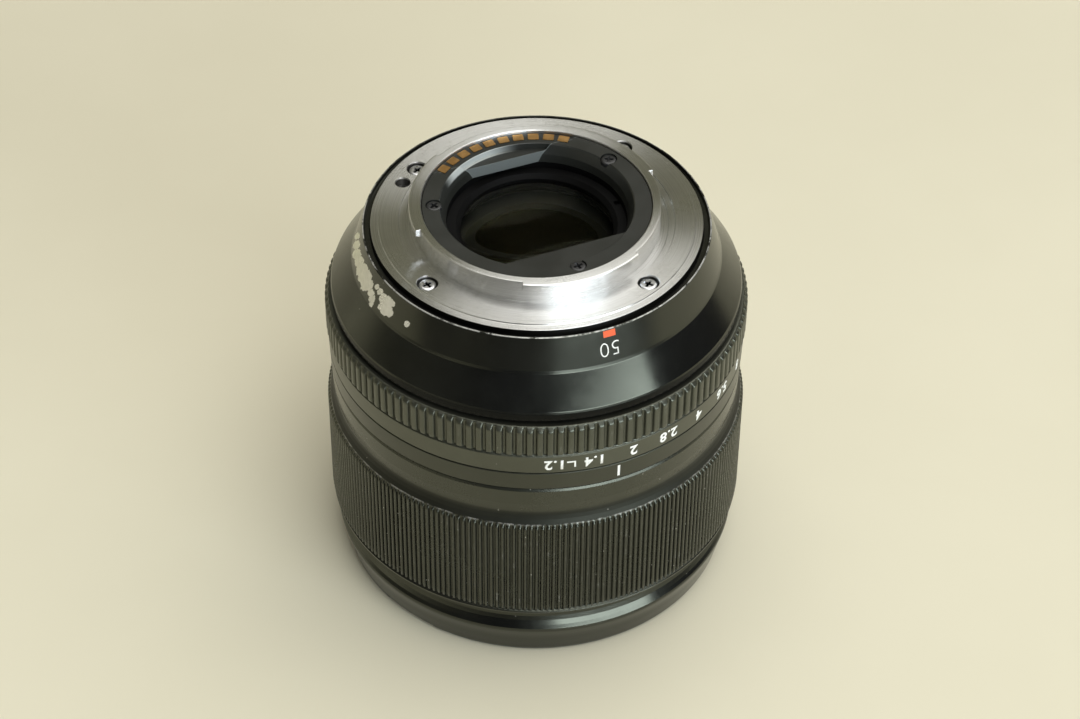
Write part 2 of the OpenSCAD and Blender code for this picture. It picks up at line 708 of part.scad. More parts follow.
// ---------- focus unit ----------
module focus_carriage() color([0.16, 0.16, 0.17]) lift() {
  profile = [
    [16.05, 36.2], [18.4, 36.2], [18.4, 57.2], [16.4, 57.2], [16.4, 55.95], [15.25, 55.95],
    [15.25, 51.35], [14.8, 51.35], [14.8, 49.3], [16.05, 49.3]];
  arm_x = 17.5;                  // the arms start inside the tube's wall
  difference() {
    union() {
      spin(profile);
      at(main_rod_az, rod_circle_r, 38.5) cylinder(r = 2.1, h = 12);
      rotate(main_rod_az) slab(arm_x, 40, [9.2, 3, 9]);
      rotate(side_rod_az) slab(arm_x, 43, [11.8, 3.6, 3]);
      rotate(screw_az) translate([arm_x, -1.45, 44]) cube([11.0, 3.6, 3]);
    }
    at(main_rod_az, rod_circle_r, 38) cylinder(r = rod_r + run, h = 13);
    // open fork on the side rod
    rotate(side_rod_az) slab(rod_circle_r - rod_r - 0.25, 42, [6, 2 * (rod_r + run), 5]);
    at(screw_az, drive_r, 43) cylinder(r = 1.0 + run, h = 5);
  }
}

module focus_front_ring() color(retainer_black) lift() {
  spin([[14.9, 36.3], [16.0, 36.3], [16.0, 37.05], [14.9, 37.05]]);
}

module focus_rear_ring() color(retainer_black) lift() {
  spin([[14.2, 56.2], [16.35, 56.2], [16.35, 57.1], [14.2, 57.1]]);
}

module guide_rods() color([0.78, 0.79, 0.80]) lift() {
  around([main_rod_az, side_rod_az], rod_circle_r, 34.7) cylinder(r = rod_r, h = 21.6);
}

module focus_motor() color(motor_grey) lift() {
  at(motor_az, drive_r) difference() {
    union() {
      translate([0, 0, 37.7]) cylinder(r = 3.6, h = 14);
      translate([0, 0, 51.6]) cylinder(r = 1.5, h = 0.8);
    }
    translate([0, 0, 37]) cylinder(r = 0.5, h = 4);
  }
}

module focus_motor_pinion() color(brass) lift() {
  at(motor_az, drive_r) pinion(motor_teeth, 36.2, 1.1, 105 + mesh_half, 37.2);
}

module lead_screw() color([0.74, 0.75, 0.76]) lift() {
  turns = 17;                    // of 1 mm pitch
  at(screw_az, drive_r) {
    translate([0, 0, 35.0]) cylinder(r = 0.55, h = 21.2);
    translate([0, 0, 36.1]) rotate(-90 - mesh_half)
      linear_extrude(1.3) polygon(gear_pts(screw_teeth));
    translate([0, 0, 37.4])
      linear_extrude(height = turns, twist = -turns * 360, slices = 10 * turns, $fn = 6)
        translate([0.13, 0]) circle(r = 0.82, $fn = 9);
  }
}

mount_flange();
flange_shim();
flange_screws();
contact_block();
contact_pins();
contact_flex();
rear_baffle();
baffle_screws();
rear_cell();
rear_retaining_ring();
rear_cover();
main_pcb();
main_barrel();
barrel_set_screws();
aperture_ring();
aperture_code_strip();
aperture_brush();
click_ball();
click_spring();
index_ring();
focus_ring();
focus_encoder_comb();
focus_encoder_sensor();
focus_glides();
front_barrel();
trim_ring();
front_retaining_ring();
front_cell();
front_cell_screws();
lens_1();
lens_2();
lens_3();
lens_4();
lens_5();
lens_6();
lens_7();
lens_8();
lens_9();
lens_10();
lens_11();
iris_base();
iris_rotor();
iris_blade_1();
iris_blade_2();
iris_blade_3();
iris_blade_4();
iris_blade_5();
iris_blade_6();
iris_blade_7();
iris_cover();
iris_stepper();
iris_pinion();
focus_carriage();
focus_front_ring();
focus_rear_ring();
guide_rods();
focus_motor();
focus_motor_pinion();
lead_screw();
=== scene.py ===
"""A 50 mm camera lens standing on its front rim, mount end up, on a pale table.

Shapes are drawn in millimetres: r out from the lens axis, z up from the front rim.
The frame is in metres, with +Z up the axis and z = 0 on the mount's flange plane.
Azimuths are in degrees from +X, anticlockwise seen from above.
"""
import json
import math
from functools import cached_property

import bmesh
import bpy
import numpy as np
from mathutils import Matrix, Quaternion, Vector


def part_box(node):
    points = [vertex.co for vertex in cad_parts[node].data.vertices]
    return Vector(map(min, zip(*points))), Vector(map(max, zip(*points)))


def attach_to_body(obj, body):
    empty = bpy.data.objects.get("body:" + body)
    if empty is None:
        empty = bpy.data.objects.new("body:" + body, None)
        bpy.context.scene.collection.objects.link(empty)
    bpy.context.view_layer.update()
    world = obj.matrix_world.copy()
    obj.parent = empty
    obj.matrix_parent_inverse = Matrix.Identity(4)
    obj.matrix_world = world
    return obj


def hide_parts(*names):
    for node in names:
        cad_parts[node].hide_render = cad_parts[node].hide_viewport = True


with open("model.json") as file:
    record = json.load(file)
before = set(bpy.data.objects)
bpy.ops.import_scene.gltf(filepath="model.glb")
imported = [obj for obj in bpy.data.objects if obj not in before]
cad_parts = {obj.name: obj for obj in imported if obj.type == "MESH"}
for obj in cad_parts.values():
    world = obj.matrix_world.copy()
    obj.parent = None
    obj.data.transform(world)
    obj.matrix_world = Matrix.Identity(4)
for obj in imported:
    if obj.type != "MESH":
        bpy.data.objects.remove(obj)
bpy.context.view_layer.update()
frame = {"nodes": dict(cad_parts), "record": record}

NODES = frame["nodes"]
SLOT = {part["node"]: part["material_slot"] for part in frame["record"]["subparts"]}

MM = 0.001
FLANGE_Z = -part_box("front_barrel")[0].z / MM
COLLAR_TOP = FLANGE_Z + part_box("mount_flange")[1].z / MM    # top of the bayonet collar
COVER_R = 35.05       # widest part of the rear cover
RIDGES = 134          # on the aperture ring
RIDGE_ROOT = 35.6
RIDGE_CREST = 36.2
RIBS = 236            # on the focus ring
RIB_ROOT = 36.1
RIB_HEIGHT = 0.5
CAMERA_AZIMUTH = -112.8


def world_z(z):
    return (z - FLANGE_Z) * MM


def polar(radius, azimuth):
    angle = math.radians(azimuth)
    return radius * math.cos(angle), radius * math.sin(angle)


# ---------------------------------------------------------------- shader graphs
def operator(kind, swap=False):
    def apply(self, other):
        pair = (other, self) if swap else (self, other)
        return self.graph.math(kind, *pair)
    return apply


class Value:
    """A shader output; arithmetic and comparison on it add Math nodes."""

    def __init__(self, graph, socket):
        self.graph = graph
        self.socket = socket

    __add__ = operator("ADD")
    __radd__ = operator("ADD", swap=True)
    __sub__ = operator("SUBTRACT")
    __rsub__ = operator("SUBTRACT", swap=True)
    __mul__ = operator("MULTIPLY")
    __rmul__ = operator("MULTIPLY", swap=True)
    __gt__ = operator("GREATER_THAN")
    __lt__ = operator("LESS_THAN")


def rgba(colour):
    return (*colour, 1.0) if isinstance(colour, tuple) else colour


def scaled(colour, factor):
    return tuple(c * factor for c in colour)


class Graph:
    """The node tree of a material or a world."""

    def __init__(self, owner, output):
        owner.use_nodes = True
        self.owner = owner
        self.tree = owner.node_tree
        self.tree.nodes.clear()
        self.output = self.node(output)

    def node(self, kind, inputs=None, **props):
        node = self.tree.nodes.new("ShaderNode" + kind)
        for key, setting in props.items():
            setattr(node, key, setting)
        for key, source in (inputs or {}).items():
            self.put(node, key, source)
        return node

    def put(self, node, key, source):
        if isinstance(source, Value):
            self.tree.links.new(source.socket, node.inputs[key])
        else:
            node.inputs[key].default_value = source

    def value(self, kind, inputs=None, output=0, **props):
        return Value(self, self.node(kind, inputs, **props).outputs[output])

    def values(self, kind, outputs, inputs=None, **props):
        """several outputs of one node"""
        node = self.node(kind, inputs, **props)
        return [Value(self, node.outputs[key]) for key in outputs]

    def math(self, kind, first, second=0.0, clamp=False):
        return self.value("Math", {0: first, 1: second}, operation=kind, use_clamp=clamp)

    def coords(self):
        return self.value("TexCoord", output="Object")

    @cached_property
    def xyz(self):
        """object coordinates, in metres"""
        return self.values("SeparateXYZ", (0, 1, 2), {0: self.coords()})

    @cached_property
    def r(self):
        """distance from the axis, in mm"""
        x, y, _ = self.xyz
        return self.math("SQRT", x * x + y * y) * 1000.0

    @cached_property
    def z(self):
        """height above the front rim, in mm"""
        return self.xyz[2] * 1000.0 + FLANGE_Z

    def noise(self, scale, detail=3.0, rough=0.55, warp=0.0, vector=None, along=None):
        """3D noise, or 1D noise over the value given as along"""
        inputs = {"Scale": scale, "Detail": detail, "Roughness": rough, "Distortion": warp}
        if along is not None:
            inputs["W"] = along
        else:
            inputs["Vector"] = vector or self.coords()
        dimensions = "3D" if along is None else "1D"
        return self.value("TexNoise", inputs, output="Fac", noise_dimensions=dimensions)

    def ramp(self, source, over, to=(0.0, 1.0)):
        """smooth step of source, from one end of over to the other"""
        inputs = {"Value": source, "From Min": over[0], "From Max": over[1],
                  "To Min": to[0], "To Max": to[1]}
        return self.value("MapRange", inputs, interpolation_type="SMOOTHSTEP")

    def mix(self, factor, first, second):
        inputs = {0: factor, 6: rgba(first), 7: rgba(second)}
        return self.value("Mix", inputs, output=2, data_type="RGBA")

    def bump(self, height, depth, strength):
        return self.value("Bump", {"Height": height, "Distance": depth, "Strength": strength})

    def specks(self, scale, size, share):
        """small sparse specks: 1 on a speck, 0 elsewhere"""
        distance, colour = self.values(
            "TexVoronoi", ("Distance", "Color"),
            {"Vector": self.coords(), "Scale": scale, "Randomness": 1.0}, feature="F1")
        near = self.ramp(distance, over=(size, size * 0.45))
        return near * (self.value("SeparateColor", {0: colour}) > 1.0 - share)

    def finish(self, kind, inputs):
        """adds the last shader, links it to the output and returns the owner"""
        self.put(self.output, "Surface", self.value(kind, inputs))
        return self.owner


def material_graph(name):
    return Graph(bpy.data.materials.new(name), "OutputMaterial")


# ---------------------------------------------------------------- materials
def black_metal(name, base, rough, spread, grain, shine, dust, wear=None, turned=False,
                more_dust=False, painted_shade_below=None, painted_shade_band=None):
    """anodised or enamelled black aluminium: satin, fine grain, smears, dust and rubbed edges

    spread is how far the roughness varies; the last two arguments are heights in mm: painted
    shade weakens the reflection below the first and across the band of the second
    """
    mat = material_graph(name)
    cloud = mat.noise(scale=90, detail=4, rough=0.6)
    smear = mat.noise(scale=34, detail=5, rough=0.68, warp=0.6)
    fine = mat.noise(scale=3800, detail=2, rough=0.5)
    colour = mat.mix(mat.ramp(cloud, over=(0.3, 0.7)), scaled(base, 0.78), scaled(base, 1.35))
    rough = rough - spread / 2 + mat.ramp(smear, over=(0.35, 0.68)) * spread
    rough = rough + (fine - 0.5) * (spread * 0.9)
    height = fine
    if turned:
        lines = mat.noise(scale=9.0, detail=3, rough=0.7, along=mat.r + mat.z * 0.73)
        height = height + lines * 2.2

    small = mat.specks(scale=620, size=0.085, share=0.10)
    large = mat.specks(scale=260, size=0.035, share=0.35)
    if more_dust:
        small = mat.math("MAXIMUM", small, mat.specks(scale=840, size=0.11, share=0.16))
    dusty = mat.math("MAXIMUM", small, large) * dust
    colour = mat.mix(dusty, colour, (0.42, 0.40, 0.35))
    rough = rough + dusty * 0.4

    metallic = 0.0
    if wear is not None:
        worn = wear(mat)
        bare = mat.mix(mat.noise(scale=900, detail=2), (0.50, 0.49, 0.46), (0.82, 0.80, 0.76))
        colour = mat.mix(worn, colour, bare)
        metallic = worn * 0.45
        rough = rough + worn * 0.08
        height = height - worn * 1.6

    # painted shade: below this height the reflection drops to 12 %, darkening the gap between the
    # cover and the aperture ring
    if painted_shade_below is not None:
        shine = mat.ramp(mat.z, over=(painted_shade_below - 0.06, painted_shade_below + 0.06),
                         to=(shine * 0.12, shine))
    # painted shade: across this band the reflection is weaker and rougher, darkening the flare
    # above the ribs
    if painted_shade_band is not None:
        low, high = painted_shade_band
        band = (mat.ramp(mat.z, over=(low - 0.3, low))
                * mat.ramp(mat.z, over=(high + 1.2, high)))
        shine = shine * (1.0 - band * 0.62)
        rough = rough + band * 0.2
    return mat.finish("BsdfPrincipled", {
        "Base Color": colour, "Roughness": rough, "Metallic": metallic,
        "Normal": mat.bump(height, depth=0.000006 * grain, strength=0.7),
        "Specular IOR Level": shine, "Coat Weight": 0.0, "Coat Roughness": 0.12,
        "Specular Tint": (0.96, 1.0, 0.80, 1.0)})


# Paint loss on the cover's shoulder: overlapping spots laid out on a plane facing the camera.
CHIP_RIGHT = (0.92390, -0.38258, 0.00581)
CHIP_UP = (0.25499, 0.62695, 0.73615)
# mm along CHIP_RIGHT, mm along CHIP_UP, radius in mm
CHIPS = (
    (-30.25, -2.85, 0.44), (-30.29, -4.40, 0.60), (-30.11, -5.98, 0.74), (-29.63, -7.37, 0.80),
    (-29.09, -8.76, 1.03), (-28.50, -9.99, 1.19), (-28.14, -11.16, 0.99), (-28.65, -11.64, 0.50),
    (-27.40, -12.68, 0.48), (-27.21, -13.67, 0.48), (-27.32, -14.50, 0.30),
    (-26.36, -11.76, 0.28), (-25.72, -12.58, 0.36), (-25.18, -13.56, 0.59),
    (-24.56, -14.39, 1.02), (-24.68, -15.40, 0.92), (-24.16, -16.04, 0.49),
    (-25.57, -15.05, 0.43), (-23.72, -14.60, 0.39), (-21.21, -17.84, 0.31))


def cover_wear(mat):
    """paint chips with bare metal below, and a bright rubbed line on the lip"""
    def along(axis):
        return sum(value * (part * 1000.0) for value, part in zip(mat.xyz, axis))
    right, up = along(CHIP_RIGHT), along(CHIP_UP)
    ragged = (mat.noise(scale=1100, detail=5, rough=0.72) - 0.5) * 1.0
    reach = None
    for chip_right, chip_up, radius in CHIPS:
        dx, dy = right - chip_right, up - chip_up
        distance = mat.math("SQRT", dx * dx + dy * dy) - radius
        reach = distance if reach is None else mat.math("MINIMUM", reach, distance)
    chips = mat.ramp(reach + ragged, over=(0.20, 0.12)) * (mat.z > 63.0)
    patchy = mat.noise(scale=330, detail=4, rough=0.75)
    lip = mat.ramp(mat.z, over=(68.93, 69.01)) * mat.ramp(patchy, over=(0.40, 0.56))
    lip = lip * mat.ramp(mat.r, over=(29.08, 29.16))
    return mat.math("MAXIMUM", chips, lip * 0.75)


def ring_wear(top, crest, amount):
    """rubbed-through crests on a ridged grip, given its top z and crest radius"""
    def wear(mat):
        rub_patches = mat.noise(scale=330, detail=4, rough=0.72)
        rub = (mat.ramp(mat.r, over=(crest - 0.02, crest + 0.004))
               * mat.ramp(rub_patches, over=(0.55, 0.75)))
        end_patches = mat.noise(scale=700, detail=3, rough=0.7)
        end = (mat.ramp(mat.z, over=(top - 0.35, top))
               * mat.ramp(mat.z, over=(top + 0.12, top + 0.05))
               * mat.ramp(end_patches, over=(0.42, 0.62))
               * mat.ramp(mat.r, over=(crest - 0.62, crest - 0.5)))
        return mat.math("MAXIMUM", rub * 0.5, end) * amount
    return wear


def turned_metal(name, dark, light, rough, aniso, line_scale, line_depth, stain):
    """bright metal with turning lines, with painted shade in the screw pockets and down the outer
    side
    """
    mat = material_graph(name)
    r, z = mat.r, mat.z
    across = r + z * 1.31
    coarse = mat.noise(scale=line_scale, detail=3, rough=0.72, along=across)
    fine = mat.noise(scale=line_scale * 4.3, detail=2, rough=0.6, along=across + 7.7)
    cloud = mat.noise(scale=70, detail=4, rough=0.65, warp=0.4)
    stretched = mat.value("Mapping", {"Vector": mat.coords(), "Scale": (1, 7, 1),
                                      "Rotation": (0, 0, 0.7)})
    scratches = mat.noise(scale=260, detail=2, rough=0.5, vector=stretched)
    colour = mat.mix(mat.ramp(coarse, over=(0.3, 0.7)), dark, light)
    stained = mat.ramp(cloud, over=(0.5, 0.75)) * stain
    colour = mat.mix(stained, colour, scaled(dark, 0.55))
    rough = rough + (cloud - 0.5) * 0.16
    rough = rough + (fine - 0.5) * 0.10
    height = coarse + fine * 0.5 + mat.ramp(scratches, over=(0.62, 0.70)) * 0.35
    # painted shade: dark colour in the screw pockets and on the outer side wall
    pocket = (((r > 22.3) * (r < 26.45))
              * ((z < FLANGE_Z - 0.3) * (z > FLANGE_Z - 1.6)))
    side = (r > 27.9) * mat.ramp(z, over=(FLANGE_Z - 0.22, FLANGE_Z - 0.3))
    pocket = mat.math("MAXIMUM", pocket, side)
    colour = mat.mix(pocket, colour, (0.10, 0.10, 0.095))
    colour = mat.mix(side, colour, (0.012, 0.012, 0.011))
    rough = rough + pocket * 0.25
    tangent = mat.value("Tangent", direction_type="RADIAL", axis="Z")
    return mat.finish("BsdfPrincipled", {
        "Base Color": colour, "Metallic": 1.0, "Roughness": rough, "Anisotropic": aniso,
        "Anisotropic Rotation": 0.25, "Tangent": tangent,
        "Normal": mat.bump(height, depth=line_depth, strength=0.6)})


def plain_metal(name, dark, light, rough, metallic=1.0, scale=900, shine=0.5,
                stretch=(1, 1, 1), pocket_shade_below=None):
    mat = material_graph(name)
    vector = mat.value("Mapping", {"Vector": mat.coords(), "Scale": stretch})
    fine = mat.noise(scale=scale, detail=4, rough=0.6, vector=vector)
    cloud = mat.noise(scale=scale * 0.12, detail=4, rough=0.65, warp=0.5)
    colour = mat.mix(mat.ramp(cloud, over=(0.3, 0.72)), dark, light)
    # painted shade: below this height the colour is near black, down in the pockets and in the
    # cross recesses
    if pocket_shade_below is not None:
        deep = mat.ramp(mat.z, over=(pocket_shade_below, pocket_shade_below - 0.07))
        colour = mat.mix(deep, colour, (0.03, 0.03, 0.028))
    return mat.finish("BsdfPrincipled", {
        "Base Color": colour, "Metallic": metallic,
        "Roughness": rough + (fine - 0.5) * (rough * 0.7), "Specular IOR Level": shine,
        "Normal": mat.bump(fine, depth=0.000006, strength=0.7)})


def moulded(name, dark, light, rough, grain=5200, grain_depth=0.00001, shine=0.4, dust=0.5,
            lit_wall=False):
    """moulded plastic; lit_wall paints light on the flat at y = 14 and a painted highlight on
    part of the collar's inner rim
    """
    mat = material_graph(name)
    fine = mat.noise(scale=grain, detail=2, rough=0.55)
    cloud = mat.noise(scale=120, detail=4, rough=0.6)
    colour = mat.mix(mat.ramp(cloud, over=(0.3, 0.7)), dark, light)
    dusty = mat.specks(scale=900, size=0.09, share=0.10) * dust
    colour = mat.mix(dusty, colour, (0.5, 0.48, 0.44))
    if lit_wall:
        x, y, _ = mat.xyz
        # painted light: the flat at y = 14 is coloured pale grey, as if lit
        flat = mat.math("ABSOLUTE", y * 1000.0 - 14.0) < 0.05
        colour = mat.mix(flat, colour, (0.15, 0.165, 0.16))
        # painted highlight: a pale strip on part of the collar's inner rim
        angle = mat.math("ARCTAN2", y, x)
        part = mat.ramp(angle, over=(1.35, 1.75)) * mat.ramp(angle, over=(2.45, 2.2))
        rim = (mat.ramp(mat.r, over=(15.75, 15.9)) * mat.ramp(mat.r, over=(16.42, 16.36))
               * (mat.z > COLLAR_TOP - 2.2))
        colour = mat.mix(part * rim, colour, (0.42, 0.44, 0.42))
    return mat.finish("BsdfPrincipled", {
        "Base Color": colour, "Roughness": rough + (cloud - 0.5) * 0.2,
        "Specular IOR Level": shine,
        "Normal": mat.bump(fine, depth=grain_depth, strength=0.6)})


def coated_glass(name, tint, flare, strength, ior):
    """glass with a thin coloured reflection; shadow and diffuse rays pass straight through"""
    mat = material_graph(name)
    cloud = mat.noise(scale=60, detail=3, rough=0.5)
    smudge = mat.ramp(mat.noise(scale=150, detail=5, rough=0.7, warp=1.2), over=(0.62, 0.8))
    fresnel = mat.value("Fresnel", {"IOR": ior})
    pale = tuple(min(1.0, c * 1.25 + 0.05) for c in flare)
    gloss = mat.value("BsdfAnisotropic", {"Color": mat.mix(cloud, flare, pale),
                                          "Roughness": 0.015 + smudge * 0.05})
    refracted = mat.value("BsdfRefraction", {"Color": rgba(tint), "Roughness": 0.0, "IOR": ior})
    clear = mat.value("BsdfTransparent", {"Color": rgba(tint)})
    coating = mat.math("MULTIPLY", fresnel, strength, clamp=True)
    body = mat.value("MixShader", {0: coating, 1: refracted, 2: gloss})
    rays = mat.values("LightPath", ("Is Shadow Ray", "Is Diffuse Ray"))
    return mat.finish("MixShader", {0: mat.math("MAXIMUM", *rays), 1: body, 2: clear})


def circuit(name):
    """green board with traces and gold pads, and dark chips on top"""
    mat = material_graph(name)
    edge = mat.value("TexVoronoi", {"Vector": mat.coords(), "Scale": 900, "Randomness": 0.35},
                     output="Distance", feature="DISTANCE_TO_EDGE")
    trace = mat.ramp(edge, over=(0.10, 0.05))
    pads = mat.specks(scale=1400, size=0.22, share=0.35)
    colour = mat.mix(trace, (0.012, 0.065, 0.030), (0.035, 0.16, 0.07))
    colour = mat.mix(pads, colour, (0.72, 0.55, 0.25))
    chip = (mat.z > 59.64) * (mat.z < 60.9)
    colour = mat.mix(chip, colour, (0.02, 0.02, 0.022))
    return mat.finish("BsdfPrincipled", {
        "Base Color": colour, "Roughness": 0.3 + chip * 0.25, "Metallic": pads * 0.8,
        "Normal": mat.bump(trace, depth=0.00003, strength=0.5)})


def film(name):
    """amber film with 46 conductor stripes to the radian"""
    mat = material_graph(name)
    x, y, _ = mat.xyz
    stripe = mat.math("FRACT", mat.math("ARCTAN2", y, x) * 46.0) > 0.5
    colour = mat.mix(stripe, (0.55, 0.22, 0.03), (0.80, 0.42, 0.12))
    fine = mat.noise(scale=2500, detail=2)
    return mat.finish("BsdfPrincipled", {
        "Base Color": colour, "Roughness": 0.25 + fine * 0.15, "Metallic": stripe * 0.6,
        "Normal": mat.bump(stripe + fine * 0.2, depth=0.00001, strength=0.6)})


def ink(name, base):
    """printed paint with small worn spots"""
    mat = material_graph(name)
    fine = mat.noise(scale=2600, detail=3, rough=0.6)
    colour = mat.mix(mat.ramp(fine, over=(0.3, 0.7)), scaled(base, 0.86), base)
    worn = mat.ramp(mat.noise(scale=4200, detail=3, rough=0.7), over=(0.70, 0.76))
    colour = mat.mix(worn * 0.55, colour, scaled(base, 0.3))
    return mat.finish("BsdfPrincipled", {
        "Base Color": colour, "Roughness": 0.5 + fine * 0.15,
        "Normal": mat.bump(fine, depth=0.000008, strength=0.5)})


MATERIALS = {
    # the cover has painted shade below z 57.5, in the gap above the aperture ring
    "cover": black_metal("black_enamel_cover", base=(0.0045, 0.0045, 0.0045), rough=0.20,
                         spread=0.09, grain=0.5, shine=0.66, dust=0.45, wear=cover_wear,
                         painted_shade_below=57.5),
    "ring": black_metal("black_anodised_ring", base=(0.007, 0.007, 0.0058), rough=0.34,
                        spread=0.08, grain=1.0, shine=0.75, dust=0.4),
    "grip": black_metal("black_anodised_grip", base=(0.018, 0.0178, 0.0135), rough=0.36,
                        spread=0.08, grain=0.9, shine=1.0, dust=0.35,
                        wear=ring_wear(top=55.3, crest=RIDGE_CREST, amount=0.2)),
    # the focus ring has painted shade on the flare above its ribs
    "focus": black_metal("black_anodised_ribs", base=(0.0085, 0.0085, 0.007), rough=0.28,
                         spread=0.09, grain=1.1, shine=0.75, dust=0.8, more_dust=True,
                         wear=ring_wear(top=33.2, crest=RIB_ROOT + RIB_HEIGHT, amount=0.3),
                         painted_shade_band=(33.3, 34.9)),
    "front": black_metal("black_enamel_front", base=(0.005, 0.005, 0.005), rough=0.20,
                         spread=0.09, grain=0.5, shine=0.7, dust=0.4),
    # the flange has painted shade in its screw pockets and down its outer side
    "flange": turned_metal("turned_chrome", dark=(0.66, 0.66, 0.65), light=(0.82, 0.82, 0.81),
                           rough=0.29, aniso=0.95, line_scale=5.0, line_depth=0.000010,
                           stain=0.25),
    "shim_brass": plain_metal("rolled_brass", dark=(0.70, 0.52, 0.24),
                              light=(0.82, 0.64, 0.33), rough=0.3),
    # the flange screws have painted shade below their tops
    "screw_steel": plain_metal("plated_steel", dark=(0.62, 0.63, 0.65),
                               light=(0.82, 0.82, 0.83), rough=0.30, scale=1400,
                               pocket_shade_below=FLANGE_Z - 0.46),
    "black_screw": plain_metal("black_oxide", dark=(0.018, 0.018, 0.019),
                               light=(0.032, 0.032, 0.034), rough=0.34, metallic=0.2,
                               scale=1400, shine=0.8),
    "black_polycarbonate": moulded("black_moulding", dark=(0.010, 0.010, 0.0105),
                                   light=(0.017, 0.017, 0.0175), rough=0.55, shine=0.45),
    "contact_gold": plain_metal("gold_plate", dark=(0.34, 0.19, 0.065),
                                light=(0.52, 0.31, 0.12), rough=0.42, scale=2200),
    "polyimide_flex": film("polyimide_film"),
    "inner_black_aluminium": black_metal("inner_black", base=(0.012, 0.012, 0.0125),
                                         rough=0.52, spread=0.1, grain=1.2, shine=0.5,
                                         dust=0.25, turned=True),
    "circuit_board": circuit("solder_mask"),
    "bright_steel": plain_metal("ground_steel", dark=(0.58, 0.59, 0.61),
                                light=(0.80, 0.81, 0.82), rough=0.25, scale=1600,
                                stretch=(1, 1, 0.12)),
    "glide_polymer": moulded("glide_polymer", dark=(0.62, 0.61, 0.56),
                             light=(0.74, 0.73, 0.68), rough=0.4, grain=3000),
    "clear_glass": coated_glass("coated_glass_a", tint=(0.985, 0.995, 0.98),
                                flare=(0.55, 0.85, 0.45), strength=0.55, ior=1.6),
    "dense_glass": coated_glass("coated_glass_b", tint=(0.975, 0.985, 0.99),
                                flare=(0.85, 0.55, 0.75), strength=0.5, ior=1.72),
    "blade_steel": plain_metal("dry_film_blade", dark=(0.035, 0.035, 0.037),
                               light=(0.06, 0.06, 0.063), rough=0.42, metallic=0.6,
                               scale=1800),
    "rotor_alloy": plain_metal("dark_alloy", dark=(0.12, 0.12, 0.125), light=(0.2, 0.2, 0.205),
                               rough=0.35, metallic=0.9, scale=1200),
    "pinion_brass": plain_metal("hobbed_brass", dark=(0.74, 0.56, 0.24),
                                light=(0.86, 0.68, 0.36), rough=0.28, scale=1500),
}
MATERIALS["chromed_brass"] = MATERIALS["flange"]
MATERIALS["black_anodised"] = MATERIALS["ring"]
BAFFLE = moulded("satin_black_moulding", dark=(0.016, 0.017, 0.0145),
                 light=(0.022, 0.023, 0.020), rough=0.33, grain=4200, grain_depth=0.000006,
                 shine=0.6, dust=0.15, lit_wall=True)
MATT_BLACK = moulded("matt_black_cell", dark=(0.002, 0.002, 0.002),
                     light=(0.004, 0.004, 0.004), rough=0.6, shine=0.1, dust=0.05)
WHITE = ink("white_ink", (0.83, 0.83, 0.80))
RED = ink("red_ink", (0.80, 0.105, 0.02))

# pieces whose material isn't their slot's
SPECIAL = {"rear_baffle": BAFFLE, "contact_block": BAFFLE,
           "rear_cell": MATT_BLACK, "rear_retaining_ring": MATT_BLACK}
for name, piece in NODES.items():
    material = SPECIAL.get(name) or MATERIALS[SLOT[name]]
    if not piece.data.materials:
        piece.data.materials.append(material)
    for i in range(len(piece.data.materials)):
        piece.data.materials[i] = material


# ---------------------------------------------------------------- mesh helpers
def add_object(name, data):
    obj = bpy.data.objects.new(name, data)
    bpy.context.scene.collection.objects.link(obj)
    return obj


def object_from(name, bm):
    mesh = bpy.data.meshes.new(name)
    bm.to_mesh(mesh)
    bm.free()
    return add_object(name, mesh)


def attach(obj, body):
    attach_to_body(obj, body)


def face_outwards(bm):
    bmesh.ops.recalc_face_normals(bm, faces=bm.faces)
    if bm.calc_volume(signed=True) < 0:
        bmesh.ops.reverse_faces(bm, faces=bm.faces)


def smoothstep(x, start, end):
    t = np.clip((x - start) / (end - start), 0, 1)
    return t * t * (3 - 2 * t)


def rounded(outline, radius, closed=True):
    """fillets the corners of an (r, z[, radius]) outline, with a support point by each fillet"""
    count = len(outline)
    points = []
    for i, entry in enumerate(outline):
        fillet = entry[2] if len(entry) > 2 else radius
        corner = np.array(entry[:2], float)
        if not closed and i in (0, count - 1):
            points.append(tuple(corner))
            continue
        back = np.array(outline[i - 1][:2], float) - corner
        ahead = np.array(outline[(i + 1) % count][:2], float) - corner
        back_len, ahead_len = np.linalg.norm(back), np.linalg.norm(ahead)
        back, ahead = back / back_len, ahead / ahead_len
        turn = math.pi - math.acos(float(np.clip(back @ ahead, -1, 1)))
        if fillet <= 0 or turn < 0.02:
            points.append(tuple(corner))
            continue
        trim = min(fillet * math.tan(turn / 2), 0.4 * back_len, 0.4 * ahead_len)
        support = min(0.25 * trim + 0.01, 0.08 * back_len, 0.08 * ahead_len)
        start, end = corner + back * trim, corner + ahead * trim
        points.append(tuple(corner + back * (trim + support)))
        steps = max(2, min(4, int(turn / 0.25) + 2))
        for j in range(steps + 1):
            u = j / steps
            points.append(tuple((1 - u) ** 2 * start + 2 * u * (1 - u) * corner + u * u * end))
        points.append(tuple(corner + ahead * (trim + support)))
    return points


def vertex_rows(x, y, z):
    """mm coordinate grids to a list of points in the frame"""
    return np.stack([x * MM, y * MM, (z - FLANGE_Z) * MM], -1).reshape(-1, 3)


def mesh_object(name, verts, faces, material, body):
    mesh = bpy.data.meshes.new(name)
    mesh.from_pydata([tuple(v) for v in verts], [], [tuple(int(i) for i in f) for f in faces])
    mesh.validate()
    bm = bmesh.new()
    bm.from_mesh(mesh)
    face_outwards(bm)
    bm.to_mesh(mesh)
    bm.free()
    mesh.shade_smooth()
    obj = add_object(name, mesh)
    mesh.materials.append(material)
    attach(obj, body)
    return obj


def even_angles(count):
    return np.linspace(0, 2 * math.pi, count, endpoint=False)


